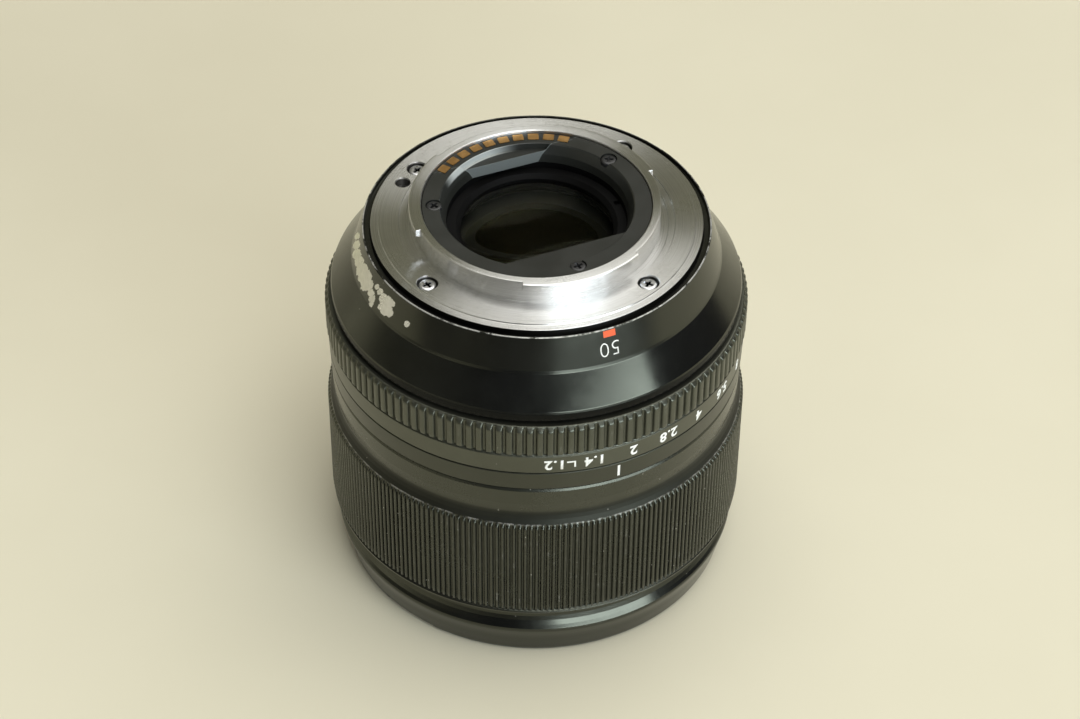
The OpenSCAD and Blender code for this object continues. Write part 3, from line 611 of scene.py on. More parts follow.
def tooth_angles(count, fractions):
    """the same fractions of every tooth's pitch, as angles"""
    return np.radians(((np.arange(count)[:, None] + fractions[None, :]) * 360 / count).ravel())


def angles_with(count, extra):
    """evenly spaced angles plus extra ones given in degrees, without near repeats"""
    degrees = list(np.linspace(0, 360, count, endpoint=False)) + [e % 360 for e in extra]
    degrees = np.unique(np.round(np.array(degrees), 4))
    kept = [degrees[0]]
    for value in degrees[1:]:
        if value - kept[-1] > 0.02:
            kept.append(value)
    return np.radians(np.array(kept))


def spin_mesh(name, outline, material, body, angles, reshape=None):
    """ring of revolution from a closed (r, z) outline; reshape moves the points by angle"""
    points = np.array([p[:2] for p in outline], float)
    rows, cols = len(points), len(angles)
    r = np.repeat(points[:, 0][:, None], cols, 1)
    z = np.repeat(points[:, 1][:, None], cols, 1)
    theta = np.repeat(angles[None, :], rows, 0)
    if reshape is not None:
        r = reshape(r, z, theta)
    verts = vertex_rows(r * np.cos(theta), r * np.sin(theta), z)
    i = np.arange(rows)[:, None]
    j = np.arange(cols)[None, :]
    next_row, next_col = (i + 1) % rows * cols, (j + 1) % cols
    corners = (i * cols + j, next_row + j, next_row + next_col, i * cols + next_col)
    faces = np.stack(np.broadcast_arrays(*corners), -1).reshape(-1, 4)
    return mesh_object(name, verts, faces, material, body)


def post(name, outline, x=0.0, y=0.0, segs=40):
    """solid of revolution about a vertical line at x, y; its (r, z) outline ends on the line"""
    bm = bmesh.new()
    rings = []
    for r, z in outline:
        if r < 1e-6:
            rings.append([bm.verts.new((x * MM, y * MM, world_z(z)))])
        else:
            rings.append([bm.verts.new(((x + r * math.cos(t)) * MM, (y + r * math.sin(t)) * MM,
                                        world_z(z))) for t in even_angles(segs)])
    for low, high in zip(rings, rings[1:]):
        for j in range(segs):
            k = (j + 1) % segs
            low_verts = [low[0]] if len(low) == 1 else [low[j], low[k]]
            high_verts = [high[0]] if len(high) == 1 else [high[k], high[j]]
            bm.faces.new(low_verts + high_verts)
    bmesh.ops.recalc_face_normals(bm, faces=bm.faces)
    return object_from(name, bm)


def join(objects, name):
    bm = bmesh.new()
    for obj in objects:
        bm.from_mesh(obj.data)
    for obj in objects:
        bpy.data.objects.remove(obj)
    return object_from(name, bm)


def cut(target, cutter):
    """takes cutter away from target for good"""
    modifier = target.modifiers.new("cut", "BOOLEAN")
    modifier.operation = "DIFFERENCE"
    modifier.solver = "EXACT"
    modifier.object = cutter
    bpy.context.view_layer.update()
    graph = bpy.context.evaluated_depsgraph_get()
    result = bpy.data.meshes.new_from_object(target.evaluated_get(graph))
    target.modifiers.clear()
    old = target.data
    target.data = result
    bpy.data.objects.remove(cutter)
    bpy.data.meshes.remove(old)


def sharpen(obj, degrees):
    """smooth shading, with edges steeper than the angle kept sharp"""
    obj.data.shade_smooth()
    obj.data.set_sharp_from_angle(angle=math.radians(degrees))


# Ring outlines below list (r, z[, fillet radius]) in mm.
# ---------------------------------------------------------------- rear cover
cover_outline = rounded([
    (32.45, 55.75, 0), (34.65, 55.75, 0.1), (35.0, 56.1, 0.12), (COVER_R, 56.65, 0.2),
    (COVER_R, 57.45, 0.3), (34.9, 57.85, 0.4), (31.35, 63.0, 0.5), (31.15, 63.5, 0.5),
    (29.35, 68.95, 0.12), (29.2, 69.08, 0.08), (28.95, 69.05, 0.05), (28.88, 68.5, 0.05),
    (28.05, 68.5, 0.04), (28.05, FLANGE_Z - 2.32, 0.03), (27.65, FLANGE_Z - 2.32, 0),
    (27.65, 65.6, 0.2), (29.6, 62.6, 0.3), (32.6, 58.5, 0.1), (31.2, 58.5, 0),
    (31.2, 57.02, 0), (32.45, 57.02, 0)], radius=0.1)
cover = spin_mesh("rear_cover_shell", cover_outline, MATERIALS["cover"], "lens_body",
                  even_angles(320))
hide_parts("rear_cover")

# ---------------------------------------------------------------- aperture ring with its ridges
aperture_outline = rounded([
    (34.9, 45.13, 0.02), (35.75, 45.13, 0.06), (35.87, 45.25, 0.08), (36.0, 48.82, 0.06),
    (35.96, 48.9, 0.03)], radius=0.05, closed=False)
aperture_outline += [(RIDGE_ROOT, z) for z in (
    48.98, 49.06, 49.16, 49.3, 49.5, 50.2, 52.0, 53.6, 54.2, 54.5, 54.7, 54.9, 55.05)]
aperture_outline += [(35.55, 55.18), (35.45, 55.27), (35.3, 55.3)]
aperture_outline += rounded([
    (35.2, 55.3), (33.2, 55.3, 0.1), (33.2, 54.2, 0.05), (32.45, 54.2, 0.05),
    (32.45, 50.6, 0.05), (34.2, 50.6, 0.05), (34.2, 47.2, 0.05), (33.0, 47.2, 0.05),
    (33.0, 46.2, 0.05), (34.7, 46.2)], radius=0.05, closed=False)
aperture_outline += [(34.9, 46.1), (34.9, 45.6)]
# mesh columns, as fractions of one ridge's pitch
ridge_columns = np.array([0.0, 0.07, 0.135, 0.175, 0.215, 0.27, 0.36, 0.5, 0.64, 0.73, 0.785,
                          0.825, 0.865, 0.93])


def tooth(fraction, half, soft):
    """1 on a tooth, 0 between teeth, with flanks of half-width soft"""
    return 1 - smoothstep(np.abs(fraction - 0.5), half - soft, half + soft)


def raise_ridges(r, z, theta):
    fraction = (np.degrees(theta) * RIDGES / 360) % 1.0
    crown = 1 - 0.10 * (np.abs(fraction - 0.5) / 0.3) ** 2
    on = (z > 48.93) & (z < 55.29) & (r > 35.44)
    ends = smoothstep(z, 48.95, 49.45) * (1 - smoothstep(z, 54.45, 55.22) * 0.92)
    lift = (RIDGE_CREST - RIDGE_ROOT) * tooth(fraction, half=0.325, soft=0.075) * crown * ends
    return np.where(on, r + lift, r)


aperture_ring = spin_mesh("aperture_ring_shell", aperture_outline, MATERIALS["grip"],
                          "aperture_ring",
                          tooth_angles(RIDGES, ridge_columns), raise_ridges)
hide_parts("aperture_ring")

# ---------------------------------------------------------------- index ring
index_outline = rounded([
    (32.42, 41.3, 0), (35.6, 41.3, 0.06), (35.72, 41.42, 0.08), (35.85, 44.85, 0.07),
    (35.75, 44.97, 0.05), (32.42, 44.97, 0)], radius=0.05)
index_ring = spin_mesh("index_ring_shell", index_outline, MATERIALS["ring"], "lens_body",
                       even_angles(320))
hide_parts("index_ring")

# the click ball's pocket
ball_x, ball_y = polar(33.6, 60)
POCKET_R, POCKET_DEPTH, POCKET_MID_Z = 0.65, 4, 44.2
bm = bmesh.new()
bmesh.ops.create_cone(
    bm, cap_ends=True, segments=48, radius1=POCKET_R * MM, radius2=POCKET_R * MM,
    depth=POCKET_DEPTH * MM,
    matrix=Matrix.Translation((ball_x * MM, ball_y * MM, world_z(POCKET_MID_Z))))
cut(index_ring, object_from("pocket_tool", bm))

# the click spring, its end turns closer together
SPRING_TURNS, WIRE_R, COIL_R = 5.5, 0.085, 0.43
SPRING_LOW, SPRING_HIGH = 42.25, 44.68
WIRE_STEPS, WIRE_SIDES = 200, 12
along = np.linspace(0, 1, WIRE_STEPS)
coil_angle = (along * SPRING_TURNS * 2 * math.pi)[:, None]
climb = 0.16 * smoothstep(along, 0, 0.18) + 0.68 * along + 0.16 * smoothstep(along, 0.82, 1)
wire_z = SPRING_LOW + WIRE_R + (SPRING_HIGH - SPRING_LOW - 2 * WIRE_R) * climb
wire_angle = even_angles(WIRE_SIDES)[None, :]
coil_r = COIL_R + WIRE_R * np.cos(wire_angle)
spring_verts = vertex_rows(ball_x + coil_r * np.cos(coil_angle),
                           ball_y + coil_r * np.sin(coil_angle),
                           wire_z[:, None] + WIRE_R * np.sin(wire_angle))
spring_faces = []
for i in range(WIRE_STEPS - 1):
    low, high = i * WIRE_SIDES, (i + 1) * WIRE_SIDES
    for j in range(WIRE_SIDES):
        k = (j + 1) % WIRE_SIDES
        spring_faces.append((low + j, low + k, high + k, high + j))
last = (WIRE_STEPS - 1) * WIRE_SIDES
spring_faces += [tuple(range(WIRE_SIDES)),
                 tuple(last + j for j in reversed(range(WIRE_SIDES)))]
spring = mesh_object("click_spring_coil", spring_verts, spring_faces, MATERIALS["bright_steel"],
                     "lens_body")
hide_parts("click_spring")

# ---------------------------------------------------------------- focus ring with its ribs
focus_outline = rounded([
    (33.4, 11.65, 0), (36.1, 11.65, 0.06), (36.45, 11.8, 0.08), (36.5, 12.1, 0.08),
    (36.4, 12.3, 0.05)], radius=0.05, closed=False)[:-1]
focus_outline += [(36.3, 12.34)]
focus_outline += [(RIB_ROOT, z) for z in (
    12.38, 12.46, 12.6, 12.85, 14, 18, 23, 28, 31.5, 32.2, 32.5, 32.7, 32.9, 33.05)]
focus_outline += [(36.08, 33.2), (36.02, 33.35)]
focus_outline += rounded([
    (35.98, 33.42), (35.66, 34.05, 0.5), (35.42, 34.8, 0.8), (35.34, 35.5, 0.8),
    (35.42, 36.4, 0.8), (35.55, 37.5, 1.0), (35.62, 40.5, 0.12), (35.42, 40.92, 0.25),
    (35.2, 41.1, 0.06), (33.4, 41.1, 0), (33.4, 30.0)], radius=0.1, closed=False)
# mesh columns, as fractions of one rib's pitch
rib_columns = np.array([0.0, 0.10, 0.17, 0.25, 0.34, 0.5, 0.66, 0.75, 0.83, 0.90])


def raise_ribs(r, z, theta):
    fraction = (np.degrees(theta) * RIBS / 360) % 1.0
    on = (z > 12.36) & (z < 33.25) & (r > 36.05)
    ends = smoothstep(z, 12.36, 12.8) * (1 - smoothstep(z, 32.4, 33.22))
    return np.where(on, r + RIB_HEIGHT * tooth(fraction, half=0.27, soft=0.13) * ends, r)


focus_ring = spin_mesh("focus_ring_shell", focus_outline, MATERIALS["focus"], "focus_ring",
                       tooth_angles(RIBS, rib_columns), raise_ribs)
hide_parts("focus_ring")

# ---------------------------------------------------------------- front barrel
# Its bore has a filter thread, and its outer edge three hood notches.
NOTCH_STARTS = (78, 198, 318)
NOTCH_SPAN = 18
NOTCH_R = 33.8
THREAD_R = 30.6
THREAD_PITCH = 0.75
THREAD_DEPTH = 0.38
front_outline = rounded([
    (THREAD_R, 0.5, 0), (31.1, 0.0, 0.06), (33.5, 0.0, 0.1), (34.0, 0.2, 0.15),
    (34.3, 0.7, 0.2)], radius=0.08, closed=False)
front_outline += [(34.36, 0.96), (34.37, 1.0), (34.38, 1.04), (34.42, 1.2), (34.64, 2.2),
                  (34.75, 2.6), (34.95, 3.6), (35.25, 4.9)]
front_outline += rounded([
    (35.32, 5.1), (35.65, 6.2, 0.5), (35.7, 6.6, 0.25), (35.6, 6.9, 0.25), (35.2, 7.45, 0.5),
    (34.75, 8.2, 0.8), (34.4, 9.0, 0.8), (34.25, 9.8, 0.8), (34.25, 11.4, 0.05),
    (31.15, 11.4, 0), (31.15, 14.5, 0.05), (30.0, 14.5, 0.05), (30.0, 11.4, 0),
    (27.9, 11.4, 0.05), (27.9, 8.75, 0), (30.2, 8.75, 0), (30.2, 5.1)],
    radius=0.1, closed=False)
front_outline += [(31.3, 5.06), (31.3, 4.55)]
front_outline += [(THREAD_R, z) for z in np.arange(4.5, 0.55, -0.075)]
notch_columns = [start + side + offset for start in NOTCH_STARTS for side in (0, NOTCH_SPAN)
                 for offset in (-0.12, -0.04, 0.04, 0.12)]


def cut_notches_and_thread(r, z, theta):
    degrees = np.degrees(theta)
    outer = r > 33.4
    for start in NOTCH_STARTS:
        past = (degrees - start) % 360
        notch = outer & (past >= 0) & (past <= NOTCH_SPAN) & (z < 1.01)
        r = np.where(notch, np.minimum(r, NOTCH_R), r)
    wave = np.abs(((z / THREAD_PITCH - degrees / 360) % 1.0) - 0.5) * 2
    depth = (THREAD_DEPTH * smoothstep(wave, 0.12, 0.95) * smoothstep(z, 0.55, 0.9)
             * (1 - smoothstep(z, 4.15, 4.5)))
    thread = (r < THREAD_R + 0.01) & (z < 4.51)
    return np.where(thread, r + depth, r)


front = spin_mesh("front_barrel_shell", front_outline, MATERIALS["front"], "lens_body",
                  angles_with(320, notch_columns), cut_notches_and_thread)
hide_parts("front_barrel")

# ---------------------------------------------------------------- mount flange
TAB_AZIMUTHS = (-90, 30, 150)
TAB_HALF = 28.8              # half a bayonet tab's span, degrees
TAB_REACH = 0.75
COLLAR_R = 20.7
SCREW_AZIMUTHS = (-159.6, -64.1, 30.5, 124.4)
SCREW_CIRCLE_R = 24.4
flange_outline = rounded([
    (19.35, FLANGE_Z - 2.3, 0.05), (27.8, FLANGE_Z - 2.3, 0.05), (28.0, FLANGE_Z - 2.1, 0.06),
    (28.0, FLANGE_Z - 0.35, 0.08), (27.85, FLANGE_Z - 0.2, 0.06),
    (26.68, FLANGE_Z - 0.2, 0.03), (26.58, FLANGE_Z, 0.04), (23.24, FLANGE_Z, 0.04),
    (23.12, FLANGE_Z - 0.25, 0.03), (22.14, FLANGE_Z - 0.25, 0.04),
    (22.04, FLANGE_Z - 0.4, 0.03), (20.72, FLANGE_Z - 0.4, 0.08),
    (COLLAR_R, COLLAR_TOP - 1.75)], radius=0.05, closed=False)
flange_outline += [(COLLAR_R, COLLAR_TOP - depth) for depth in (
    1.62, 1.52, 1.44, 1.36, 1.29, 1.22, 1.12, 0.9, 0.5, 0.22, 0.15, 0.12)]
flange_outline += [(20.67, COLLAR_TOP - 0.05), (20.6, COLLAR_TOP - 0.01), (20.5, COLLAR_TOP)]
flange_outline += rounded([
    (20.3, COLLAR_TOP), (19.5, COLLAR_TOP, 0.06), (19.35, COLLAR_TOP - 0.15, 0.08),
    (19.35, FLANGE_Z - 2.0)], radius=0.05, closed=False)
tab_columns = [azimuth + side * (TAB_HALF + offset) for azimuth in TAB_AZIMUTHS
               for side in (-1, 1)
               for offset in (-0.5, -0.3, -0.2, -0.12, 0, 0.12, 0.2, 0.3, 0.5)]


def raise_tabs(r, z, theta):
    degrees = np.degrees(theta)
    weight = np.zeros_like(degrees)
    for azimuth in TAB_AZIMUTHS:
        away = np.abs((degrees - azimuth + 180) % 360 - 180)
        weight = np.maximum(weight, 1 - smoothstep(away, TAB_HALF - 0.2, TAB_HALF + 0.2))
    lift = (TAB_REACH * smoothstep(z, COLLAR_TOP - 1.62, COLLAR_TOP - 1.22)
            - 0.14 * smoothstep(z, COLLAR_TOP - 0.2, COLLAR_TOP))
    on = (z > COLLAR_TOP - 1.64) & (r > 20.45)
    return np.where(on, r + weight * lift, r)


flange = spin_mesh("mount_flange_turned", flange_outline, MATERIALS["flange"], "lens_body",
                   angles_with(400, tab_columns), raise_tabs)


def cutter(outline, x, y):
    """post with its heights measured from the flange plane"""
    return post("cutter", [(r, FLANGE_Z + z) for r, z in outline], x, y, 48)


# (r, z from the flange plane)
SCREW_POCKET = ((0, -3), (0.95, -3), (0.95, -1.32), (1.7, -1.32), (1.8, -1.24),
                (1.8, -0.09), (1.9, 0.02), (1.95, 1), (0, 1))
SMALL_POCKET = ((0, -1.6), (1.2, -1.6), (1.3, -1.5), (1.3, -0.09), (1.4, 0.02), (1.45, 1),
                (0, 1))
cutters = [cutter(SCREW_POCKET, *polar(SCREW_CIRCLE_R, azimuth)) for azimuth in SCREW_AZIMUTHS]
cutters.append(cutter(SMALL_POCKET, *polar(24.7, 134.9)))
cut(flange, join(cutters, "cutters"))
sharpen(flange, 40)
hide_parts("mount_flange")


# ---------------------------------------------------------------- cross-recess screws
DOME = 0.10    # rise of a head's rounded top


def recess_bar(x, y, turn, head_r, top):
    """one tapered bar of a cross recess"""
    angle = math.radians(turn)
    cos, sin = math.cos(angle), math.sin(angle)
    bm = bmesh.new()
    verts = []
    for z, half_length, half_width in (
            (top + 0.2, head_r * 0.68 * 1.06, head_r * 0.17 * 1.12),
            (top - 0.62, head_r * 0.26, head_r * 0.10)):
        for side_x, side_y in ((-1, -1), (1, -1), (1, 1), (-1, 1)):
            u, v = side_x * half_length, side_y * half_width
            verts.append(bm.verts.new(((x + u * cos - v * sin) * MM,
                                       (y + u * sin + v * cos) * MM, world_z(z))))
    for face in ((0, 1, 2, 3), (7, 6, 5, 4), (0, 4, 5, 1), (1, 5, 6, 2), (2, 6, 7, 3),
                 (3, 7, 4, 0)):
        bm.faces.new([verts[i] for i in face])
    bmesh.ops.recalc_face_normals(bm, faces=bm.faces)
    return object_from("recess_bar", bm)


def screws(node, slot, places, turns, head_r, top, head_low, shank_r, end):
    """screws with rounded heads and plain shanks, as one object; turns are in degrees"""
    outline = [(0, end), (shank_r * 0.8, end), (shank_r, end + 0.2), (shank_r, head_low),
               (head_r - 0.12, head_low), (head_r - 0.02, head_low + 0.08),
               (head_r, head_low + 0.16), (head_r, top - 0.28 - DOME * 0.4),
               (head_r - 0.03, top - 0.16 - DOME * 0.4),
               (head_r - 0.12, top - 0.06 - DOME * 0.35), (head_r - 0.25, top - DOME * 0.3),
               (head_r * 0.62, top - DOME * 0.1), (head_r * 0.3, top), (0, top)]
    obj = join([post("head", outline, x, y) for x, y in places], node + "_cross")
    for quarter in (0, 90):
        bars = [recess_bar(x, y, turn + quarter, head_r, top)
                for (x, y), turn in zip(places, turns)]
        cut(obj, join(bars, "cutters"))
    obj.data.materials.clear()
    obj.data.materials.append(MATERIALS[slot])
    sharpen(obj, 35)
    attach(obj, "lens_body")
    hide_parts(node)


screws("flange_screws", "screw_steel", [polar(SCREW_CIRCLE_R, a) for a in SCREW_AZIMUTHS],
       turns=(12, 40, 75, 28), head_r=1.45, top=FLANGE_Z - 0.3, head_low=FLANGE_Z - 1.28,
       shank_r=0.78, end=FLANGE_Z - 5.3)
screws("baffle_screws", "black_screw", [polar(17.2, a) for a in (159.4, 22.3, -89.6)],
       turns=(30, 62, 8), head_r=1.35, top=COLLAR_TOP - 0.5, head_low=COLLAR_TOP - 1.3,
       shank_r=0.55, end=FLANGE_Z - 1.6)

# ---------------------------------------------------------------- glass elements
GAP = 0.02    # between elements with matching faces
# number: rim radius, front z, front curve radius, rear z, rear curve radius (0 is flat),
#         coating colour, coating strength
LENSES = {
    1: (25.4, 5.6, 60, 13.2, 400, (0.35, 0.75, 0.55), 0.04),
    2: (23.4, 14.4, 75, 17.8, 150, (0.80, 0.62, 0.25), 0.04),
    3: (21.0, 18.3, 55, 24.0, 0, (0.5, 0.85, 0.4), 0.04),
    4: (21.0, 24.0 + GAP, 0, 25.3, 70, (0.8, 0.5, 0.75), 0.04),
    5: (16.0, 39.8, -50, 41.0, 60, (0.7, 0.7, 0.3), 0.04),
    6: (16.0, 41.0 + GAP, 60, 46.2, -55, (0.4, 0.65, 0.9), 0.04),
    7: (16.0, 46.6, 70, 49.8, -200, (0.75, 0.70, 0.35), 0.04),
    8: (15.2, 50.3, 90, 53.8, -70, (0.4, 0.65, 0.95), 0.04),
    9: (15.2, 53.8 + GAP, -70, 55.0, 120, (0.85, 0.6, 0.35), 0.08),
    10: (14.0, 63.7, -60, 64.9, -90, (0.66, 0.62, 0.36), 0.08),
    11: (13.6, 65.4, 90, 68.6, -60, (0.60, 0.60, 0.48), 0.10),
}
LENS_RINGS = 26


def sag(r, curve):
    if curve == 0:
        return 0.0
    return math.copysign(abs(curve) - math.sqrt(curve * curve - r * r), curve)


for number, (rim_r, front_z, front_curve, rear_z, rear_curve, flare, strength) in LENSES.items():
    node = f"lens_{number}"
    glass = coated_glass(f"coated_glass_{number}", tint=(0.985, 0.99, 0.975), flare=flare,
                         strength=strength, ior=1.72 if SLOT[node] == "dense_glass" else 1.62)
    radii = [rim_r * math.sin(i / LENS_RINGS * math.pi / 2) for i in range(LENS_RINGS + 1)]
    outline = [(r, front_z + sag(r, front_curve)) for r in radii]
    outline += [(r, rear_z + sag(r, rear_curve)) for r in reversed(radii)]
    lens = post(node + "_glass", outline, segs=144)
    lens.data.materials.append(glass)
    sharpen(lens, 32)
    attach(lens, "focus_unit" if 5 <= number <= 9 else "lens_body")
    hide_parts(node)


# ---------------------------------------------------------------- printed marks
def surface(*points):
    """radius at a height, from (r, z) points up the outside of a ring"""
    radii, heights = zip(*points)
    return lambda z: float(np.interp(z, heights, radii))


COVER_SKIN = surface((34.9, 57.85), (31.35, 63.0), (31.15, 63.5), (29.35, 68.95),
                     (29.27, 69.03))
APERTURE_SKIN = surface((35.87, 45.25), (36.0, 48.85))
INDEX_SKIN = surface((35.72, 41.42), (35.85, 44.85))
SINK = 0.05    # how far a mark goes into the surface


def wrapped_mark(name, bm, azimuth, mid_z, skin, body, ink, lift=0.02):
    """lays a flat x-y mesh in mm round the barrel and gives it thickness"""
    xs = [v.co.x for v in bm.verts]
    for cut_x in np.arange(min(xs) + 0.15, max(xs), 0.22):
        geom = bm.verts[:] + bm.edges[:] + bm.faces[:]
        bmesh.ops.bisect_plane(bm, geom=geom, plane_co=(cut_x, 0, 0), plane_no=(1, 0, 0),
                               dist=1e-5)
    extruded = bmesh.ops.extrude_face_region(bm, geom=bm.faces[:])
    outer = {v for v in extruded["geom"] if isinstance(v, bmesh.types.BMVert)}
    slope = skin(mid_z + 0.5) - skin(mid_z - 0.5)
    stretch = math.sqrt(1 + slope * slope)
    for v in bm.verts:
        z = mid_z + v.co.y / stretch
        r = skin(z) + (lift if v in outer else -SINK)
        t = math.radians(azimuth) + v.co.x / skin(mid_z)
        v.co = Vector((r * math.cos(t) * MM, r * math.sin(t) * MM, world_z(z)))
    face_outwards(bm)
    obj = object_from(name, bm)
    obj.data.materials.append(ink)
    attach(obj, body)


def figures(name, text, azimuth, mid_z, height, skin, body, spacing, weight):
    """white figures, their tops towards the front of the lens"""
    curve = bpy.data.curves.new(name + "_c", "FONT")
    curve.body = text
    curve.size = 1.0
    curve.space_character = spacing
    curve.offset = weight
    curve.resolution_u = 4
    temporary = add_object(name + "_t", curve)
    bpy.context.view_layer.update()
    graph = bpy.context.evaluated_depsgraph_get()
    mesh = bpy.data.meshes.new_from_object(temporary.evaluated_get(graph))
    bpy.data.objects.remove(temporary)
    bpy.data.curves.remove(curve)
    bm = bmesh.new()
    bm.from_mesh(mesh)
    bpy.data.meshes.remove(mesh)
    bmesh.ops.remove_doubles(bm, verts=bm.verts, dist=1e-5)
    xs = [v.co.x for v in bm.verts]
    ys = [v.co.y for v in bm.verts]
    scale = height / (max(ys) - min(ys))
    mid_x, mid_y = (max(xs) + min(xs)) / 2, (max(ys) + min(ys)) / 2
    # cut into strips the right way up, then turned over by the negative scale of the wrap
    for v in bm.verts:
        v.co = Vector(((v.co.x - mid_x) * scale, (v.co.y - mid_y) * scale, 0))
    wrapped_figures(name, bm, azimuth, mid_z, skin, body)


def wrapped_figures(name, bm, azimuth, mid_z, skin, body):
    """the wrap of wrapped_mark with x and y reversed, so that the figures face the front"""
    flipped_skin = skin
    xs = [v.co.x for v in bm.verts]
    for cut_x in np.arange(min(xs) + 0.15, max(xs), 0.22):
        geom = bm.verts[:] + bm.edges[:] + bm.faces[:]
        bmesh.ops.bisect_plane(bm, geom=geom, plane_co=(cut_x, 0, 0), plane_no=(1, 0, 0),
                               dist=1e-5)
    extruded = bmesh.ops.extrude_face_region(bm, geom=bm.faces[:])
    outer = {v for v in extruded["geom"] if isinstance(v, bmesh.types.BMVert)}
    slope = flipped_skin(mid_z + 0.5) - flipped_skin(mid_z - 0.5)
    stretch = math.sqrt(1 + slope * slope)
    for v in bm.verts:
        z = mid_z - v.co.y / stretch
        r = skin(z) + (0.02 if v in outer else -SINK)
        t = math.radians(azimuth) - v.co.x / skin(mid_z)
        v.co = Vector((r * math.cos(t) * MM, r * math.sin(t) * MM, world_z(z)))
    face_outwards(bm)
    obj = object_from(name, bm)
    obj.data.materials.append(WHITE)
    attach(obj, body)


def patch(name, rects, azimuth, mid_z, skin, body, ink, lift=0.02):
    """a mark made of (x0, y0, x1, y1) rectangles, in mm from its middle"""
    bm = bmesh.new()
    for x0, y0, x1, y1 in rects:
        cols = max(1, int((x1 - x0) / 0.2))
        rows = max(1, int((y1 - y0) / 0.2))
        grid = [[bm.verts.new((x0 + (x1 - x0) * i / cols, y0 + (y1 - y0) * j / rows, 0))
                 for i in range(cols + 1)] for j in range(rows + 1)]
        for j in range(rows):
            for i in range(cols):
                bm.faces.new((grid[j][i], grid[j][i + 1], grid[j + 1][i + 1], grid[j + 1][i]))
    wrapped_mark(name, bm, azimuth, mid_z, skin, body, ink, lift)


SCALE_Z = 46.95
# aperture figures and their azimuths
SCALE = (("1.2", -107.9), ("1.4", -97.2), ("2", -85.9), ("2.8", -74.8), ("4", -63.4),
         ("5.6", -51.9), ("8", -40.5), ("11", -29.2), ("16", -17.9))
for text, azimuth in SCALE:
    figures("scale_" + text.replace(".", "_"), text, azimuth, SCALE_Z, height=2.15,
            skin=APERTURE_SKIN, body="aperture_ring", spacing=1.08, weight=0.028)
patch("scale_bracket", [(-0.75, 0.35, 0.75, 0.65), (0.47, -0.75, 0.75, 0.35)], -103.2, SCALE_Z,
      APERTURE_SKIN, "aperture_ring", WHITE)
patch("scale_dot", [(-0.4, -0.4, 0.4, 0.4)], -5.5, SCALE_Z, APERTURE_SKIN, "aperture_ring", RED)
patch("index_line", [(-0.22, -1.15, 0.22, 1.3)], -90.0, 43.1, INDEX_SKIN, "lens_body", WHITE)
figures("focal_figures", "50", -89.7, 65.7, height=2.45, skin=COVER_SKIN, body="lens_body",
        spacing=1.05, weight=-0.018)
patch("mount_index_mark", [(-1.05, -0.78, 1.05, 0.36)], -89.3, 68.5, COVER_SKIN, "lens_body",
      RED, lift=0.025)


# ---------------------------------------------------------------- floor
FLOOR_HALF = 1.6        # metres
FLOOR_DROP = 0.00002    # metres below the front rim


def floor_material():
    mat = material_graph("pale_floor")
    cloud = mat.noise(scale=9, detail=4, rough=0.6)
    fine = mat.noise(scale=420, detail=3, rough=0.6)
    colour = mat.mix(mat.ramp(cloud, over=(0.25, 0.75)), (0.735, 0.688, 0.528),
                     (0.770, 0.722, 0.560))
    # the table ends towards the camera, but only as mirrored on the lens
    x, y, _ = mat.xyz
    to_camera_x, to_camera_y = polar(1.0, CAMERA_AZIMUTH)
    near = x * to_camera_x + y * to_camera_y
    glossy = mat.value("LightPath", output="Is Glossy Ray")
    edge = glossy * mat.ramp(near, over=(0.105, 0.17), to=(0.0, 0.88))
    colour = mat.mix(edge, colour, (0.02, 0.02, 0.016))
    return mat.finish("BsdfPrincipled", {
        "Base Color": colour, "Roughness": 0.52 + fine * 0.08, "Specular IOR Level": 0.3,
        "Normal": mat.bump(fine, depth=0.00002, strength=0.25)})


bm = bmesh.new()
floor_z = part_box("front_barrel")[0].z - FLOOR_DROP
for side_x, side_y in ((-1, -1), (1, -1), (1, 1), (-1, 1)):
    bm.verts.new((side_x * FLOOR_HALF, side_y * FLOOR_HALF, floor_z))
bm.faces.new(bm.verts[:])
floor = object_from("floor", bm)
floor.data.materials.append(floor_material())

# ---------------------------------------------------------------- lights
TARGET = Vector((0, 0, world_z(35.0)))


def aim(obj, turn, elevation, distance):
    """places obj by its turn in degrees from the camera's azimuth, facing TARGET"""
    a, e = math.radians(CAMERA_AZIMUTH + turn), math.radians(elevation)
    direction = Vector((math.cos(e) * math.cos(a), math.cos(e) * math.sin(a), math.sin(e)))
    obj.location = TARGET + direction * distance
    obj.rotation_mode = "QUATERNION"
    obj.rotation_quaternion = (TARGET - obj.location).to_track_quat("-Z", "Y")


def area(name, turn, elevation, distance, size, power, color):
    light = bpy.data.lights.new(name, "AREA")
    light.shape = "RECTANGLE"
    light.size, light.size_y = size
    light.energy = power
    light.color = color
    aim(add_object(name, light), turn, elevation, distance)


area("window_soft", turn=35, elevation=12, distance=1.1, size=(1.0, 0.42), power=11.5,
     color=(0.84, 0.93, 1.0))
area("key_soft", turn=24, elevation=58, distance=1.45, size=(0.8, 0.9), power=4.2,
     color=(0.97, 0.99, 1.0))
area("overhead_soft", turn=116, elevation=72, distance=1.7, size=(2.2, 2.2), power=26.5,
     color=(1.0, 0.985, 0.95))

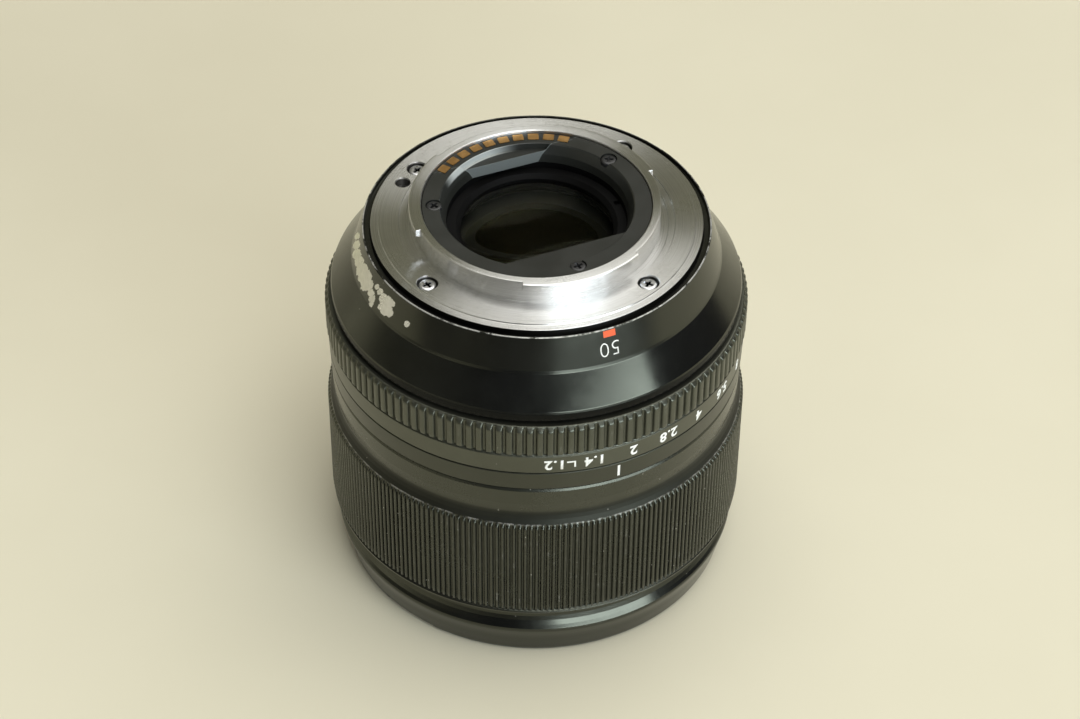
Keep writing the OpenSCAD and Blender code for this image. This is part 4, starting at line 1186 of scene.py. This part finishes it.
# ---------------------------------------------------------------- room
# Dark on the camera's side, an olive wall behind the lens, a pale ceiling,
# and a pale strip low on the left.
scene = bpy.context.scene
scene.world = bpy.data.worlds.new("studio")
sky = Graph(scene.world, "OutputWorld")
x, y, up = sky.values("SeparateXYZ", (0, 1, 2), {0: sky.value("TexCoord", output="Generated")})


def towards(azimuth):
    across, along = polar(1.0, azimuth)
    return x * across + y * along


CEILING = (0.36, 0.355, 0.31)
away = towards(CAMERA_AZIMUTH + 180)
left = towards(CAMERA_AZIMUTH - 90)
front_side = sky.mix(sky.ramp(up, over=(0.62, 0.9)), (0.026, 0.027, 0.025), CEILING)
back_side = sky.mix(sky.ramp(up, over=(0.62, 0.95)), (0.15, 0.145, 0.095), CEILING)
left_low = sky.mix(sky.ramp(up, over=(0.02, 0.18)), (1.0, 0.95, 0.72), (0.13, 0.127, 0.095))
room = sky.mix(sky.ramp(away, over=(-0.2, 0.4)), front_side, back_side)
left_wall = sky.mix(sky.ramp(up, over=(0.3, 0.6)), left_low, room)
room = sky.mix(sky.ramp(left, over=(0.25, 0.85)), room, left_wall)
right_wall = sky.mix(sky.ramp(up, over=(0.35, 0.6)), (0.03, 0.03, 0.028), room)
room = sky.mix(sky.ramp(left, over=(-0.25, -0.75)), room, right_wall)
sky.finish("Background", {"Strength": 1.0, "Color": room})

# ---------------------------------------------------------------- camera and render
camera_data = bpy.data.cameras.new("camera")
camera_data.sensor_width = 36.0
camera_data.lens = 93.33333333
camera_data.shift_x = 0.0040
camera_data.shift_y = 0.0106
camera_data.clip_start = 0.01
camera_data.clip_end = 20
camera = add_object("camera", camera_data)
aim(camera, turn=0, elevation=42.594, distance=0.492785)
roll = Quaternion((0, 0, 1), math.radians(0.452))
camera.rotation_quaternion = camera.rotation_quaternion @ roll
scene.camera = camera

scene.view_settings.view_transform = "Standard"
scene.view_settings.look = "None"
scene.cycles.max_bounces = 32
scene.cycles.transmission_bounces = 32
scene.cycles.glossy_bounces = 8
scene.cycles.transparent_max_bounces = 48
scene.cycles.caustics_reflective = False
scene.cycles.caustics_refractive = False
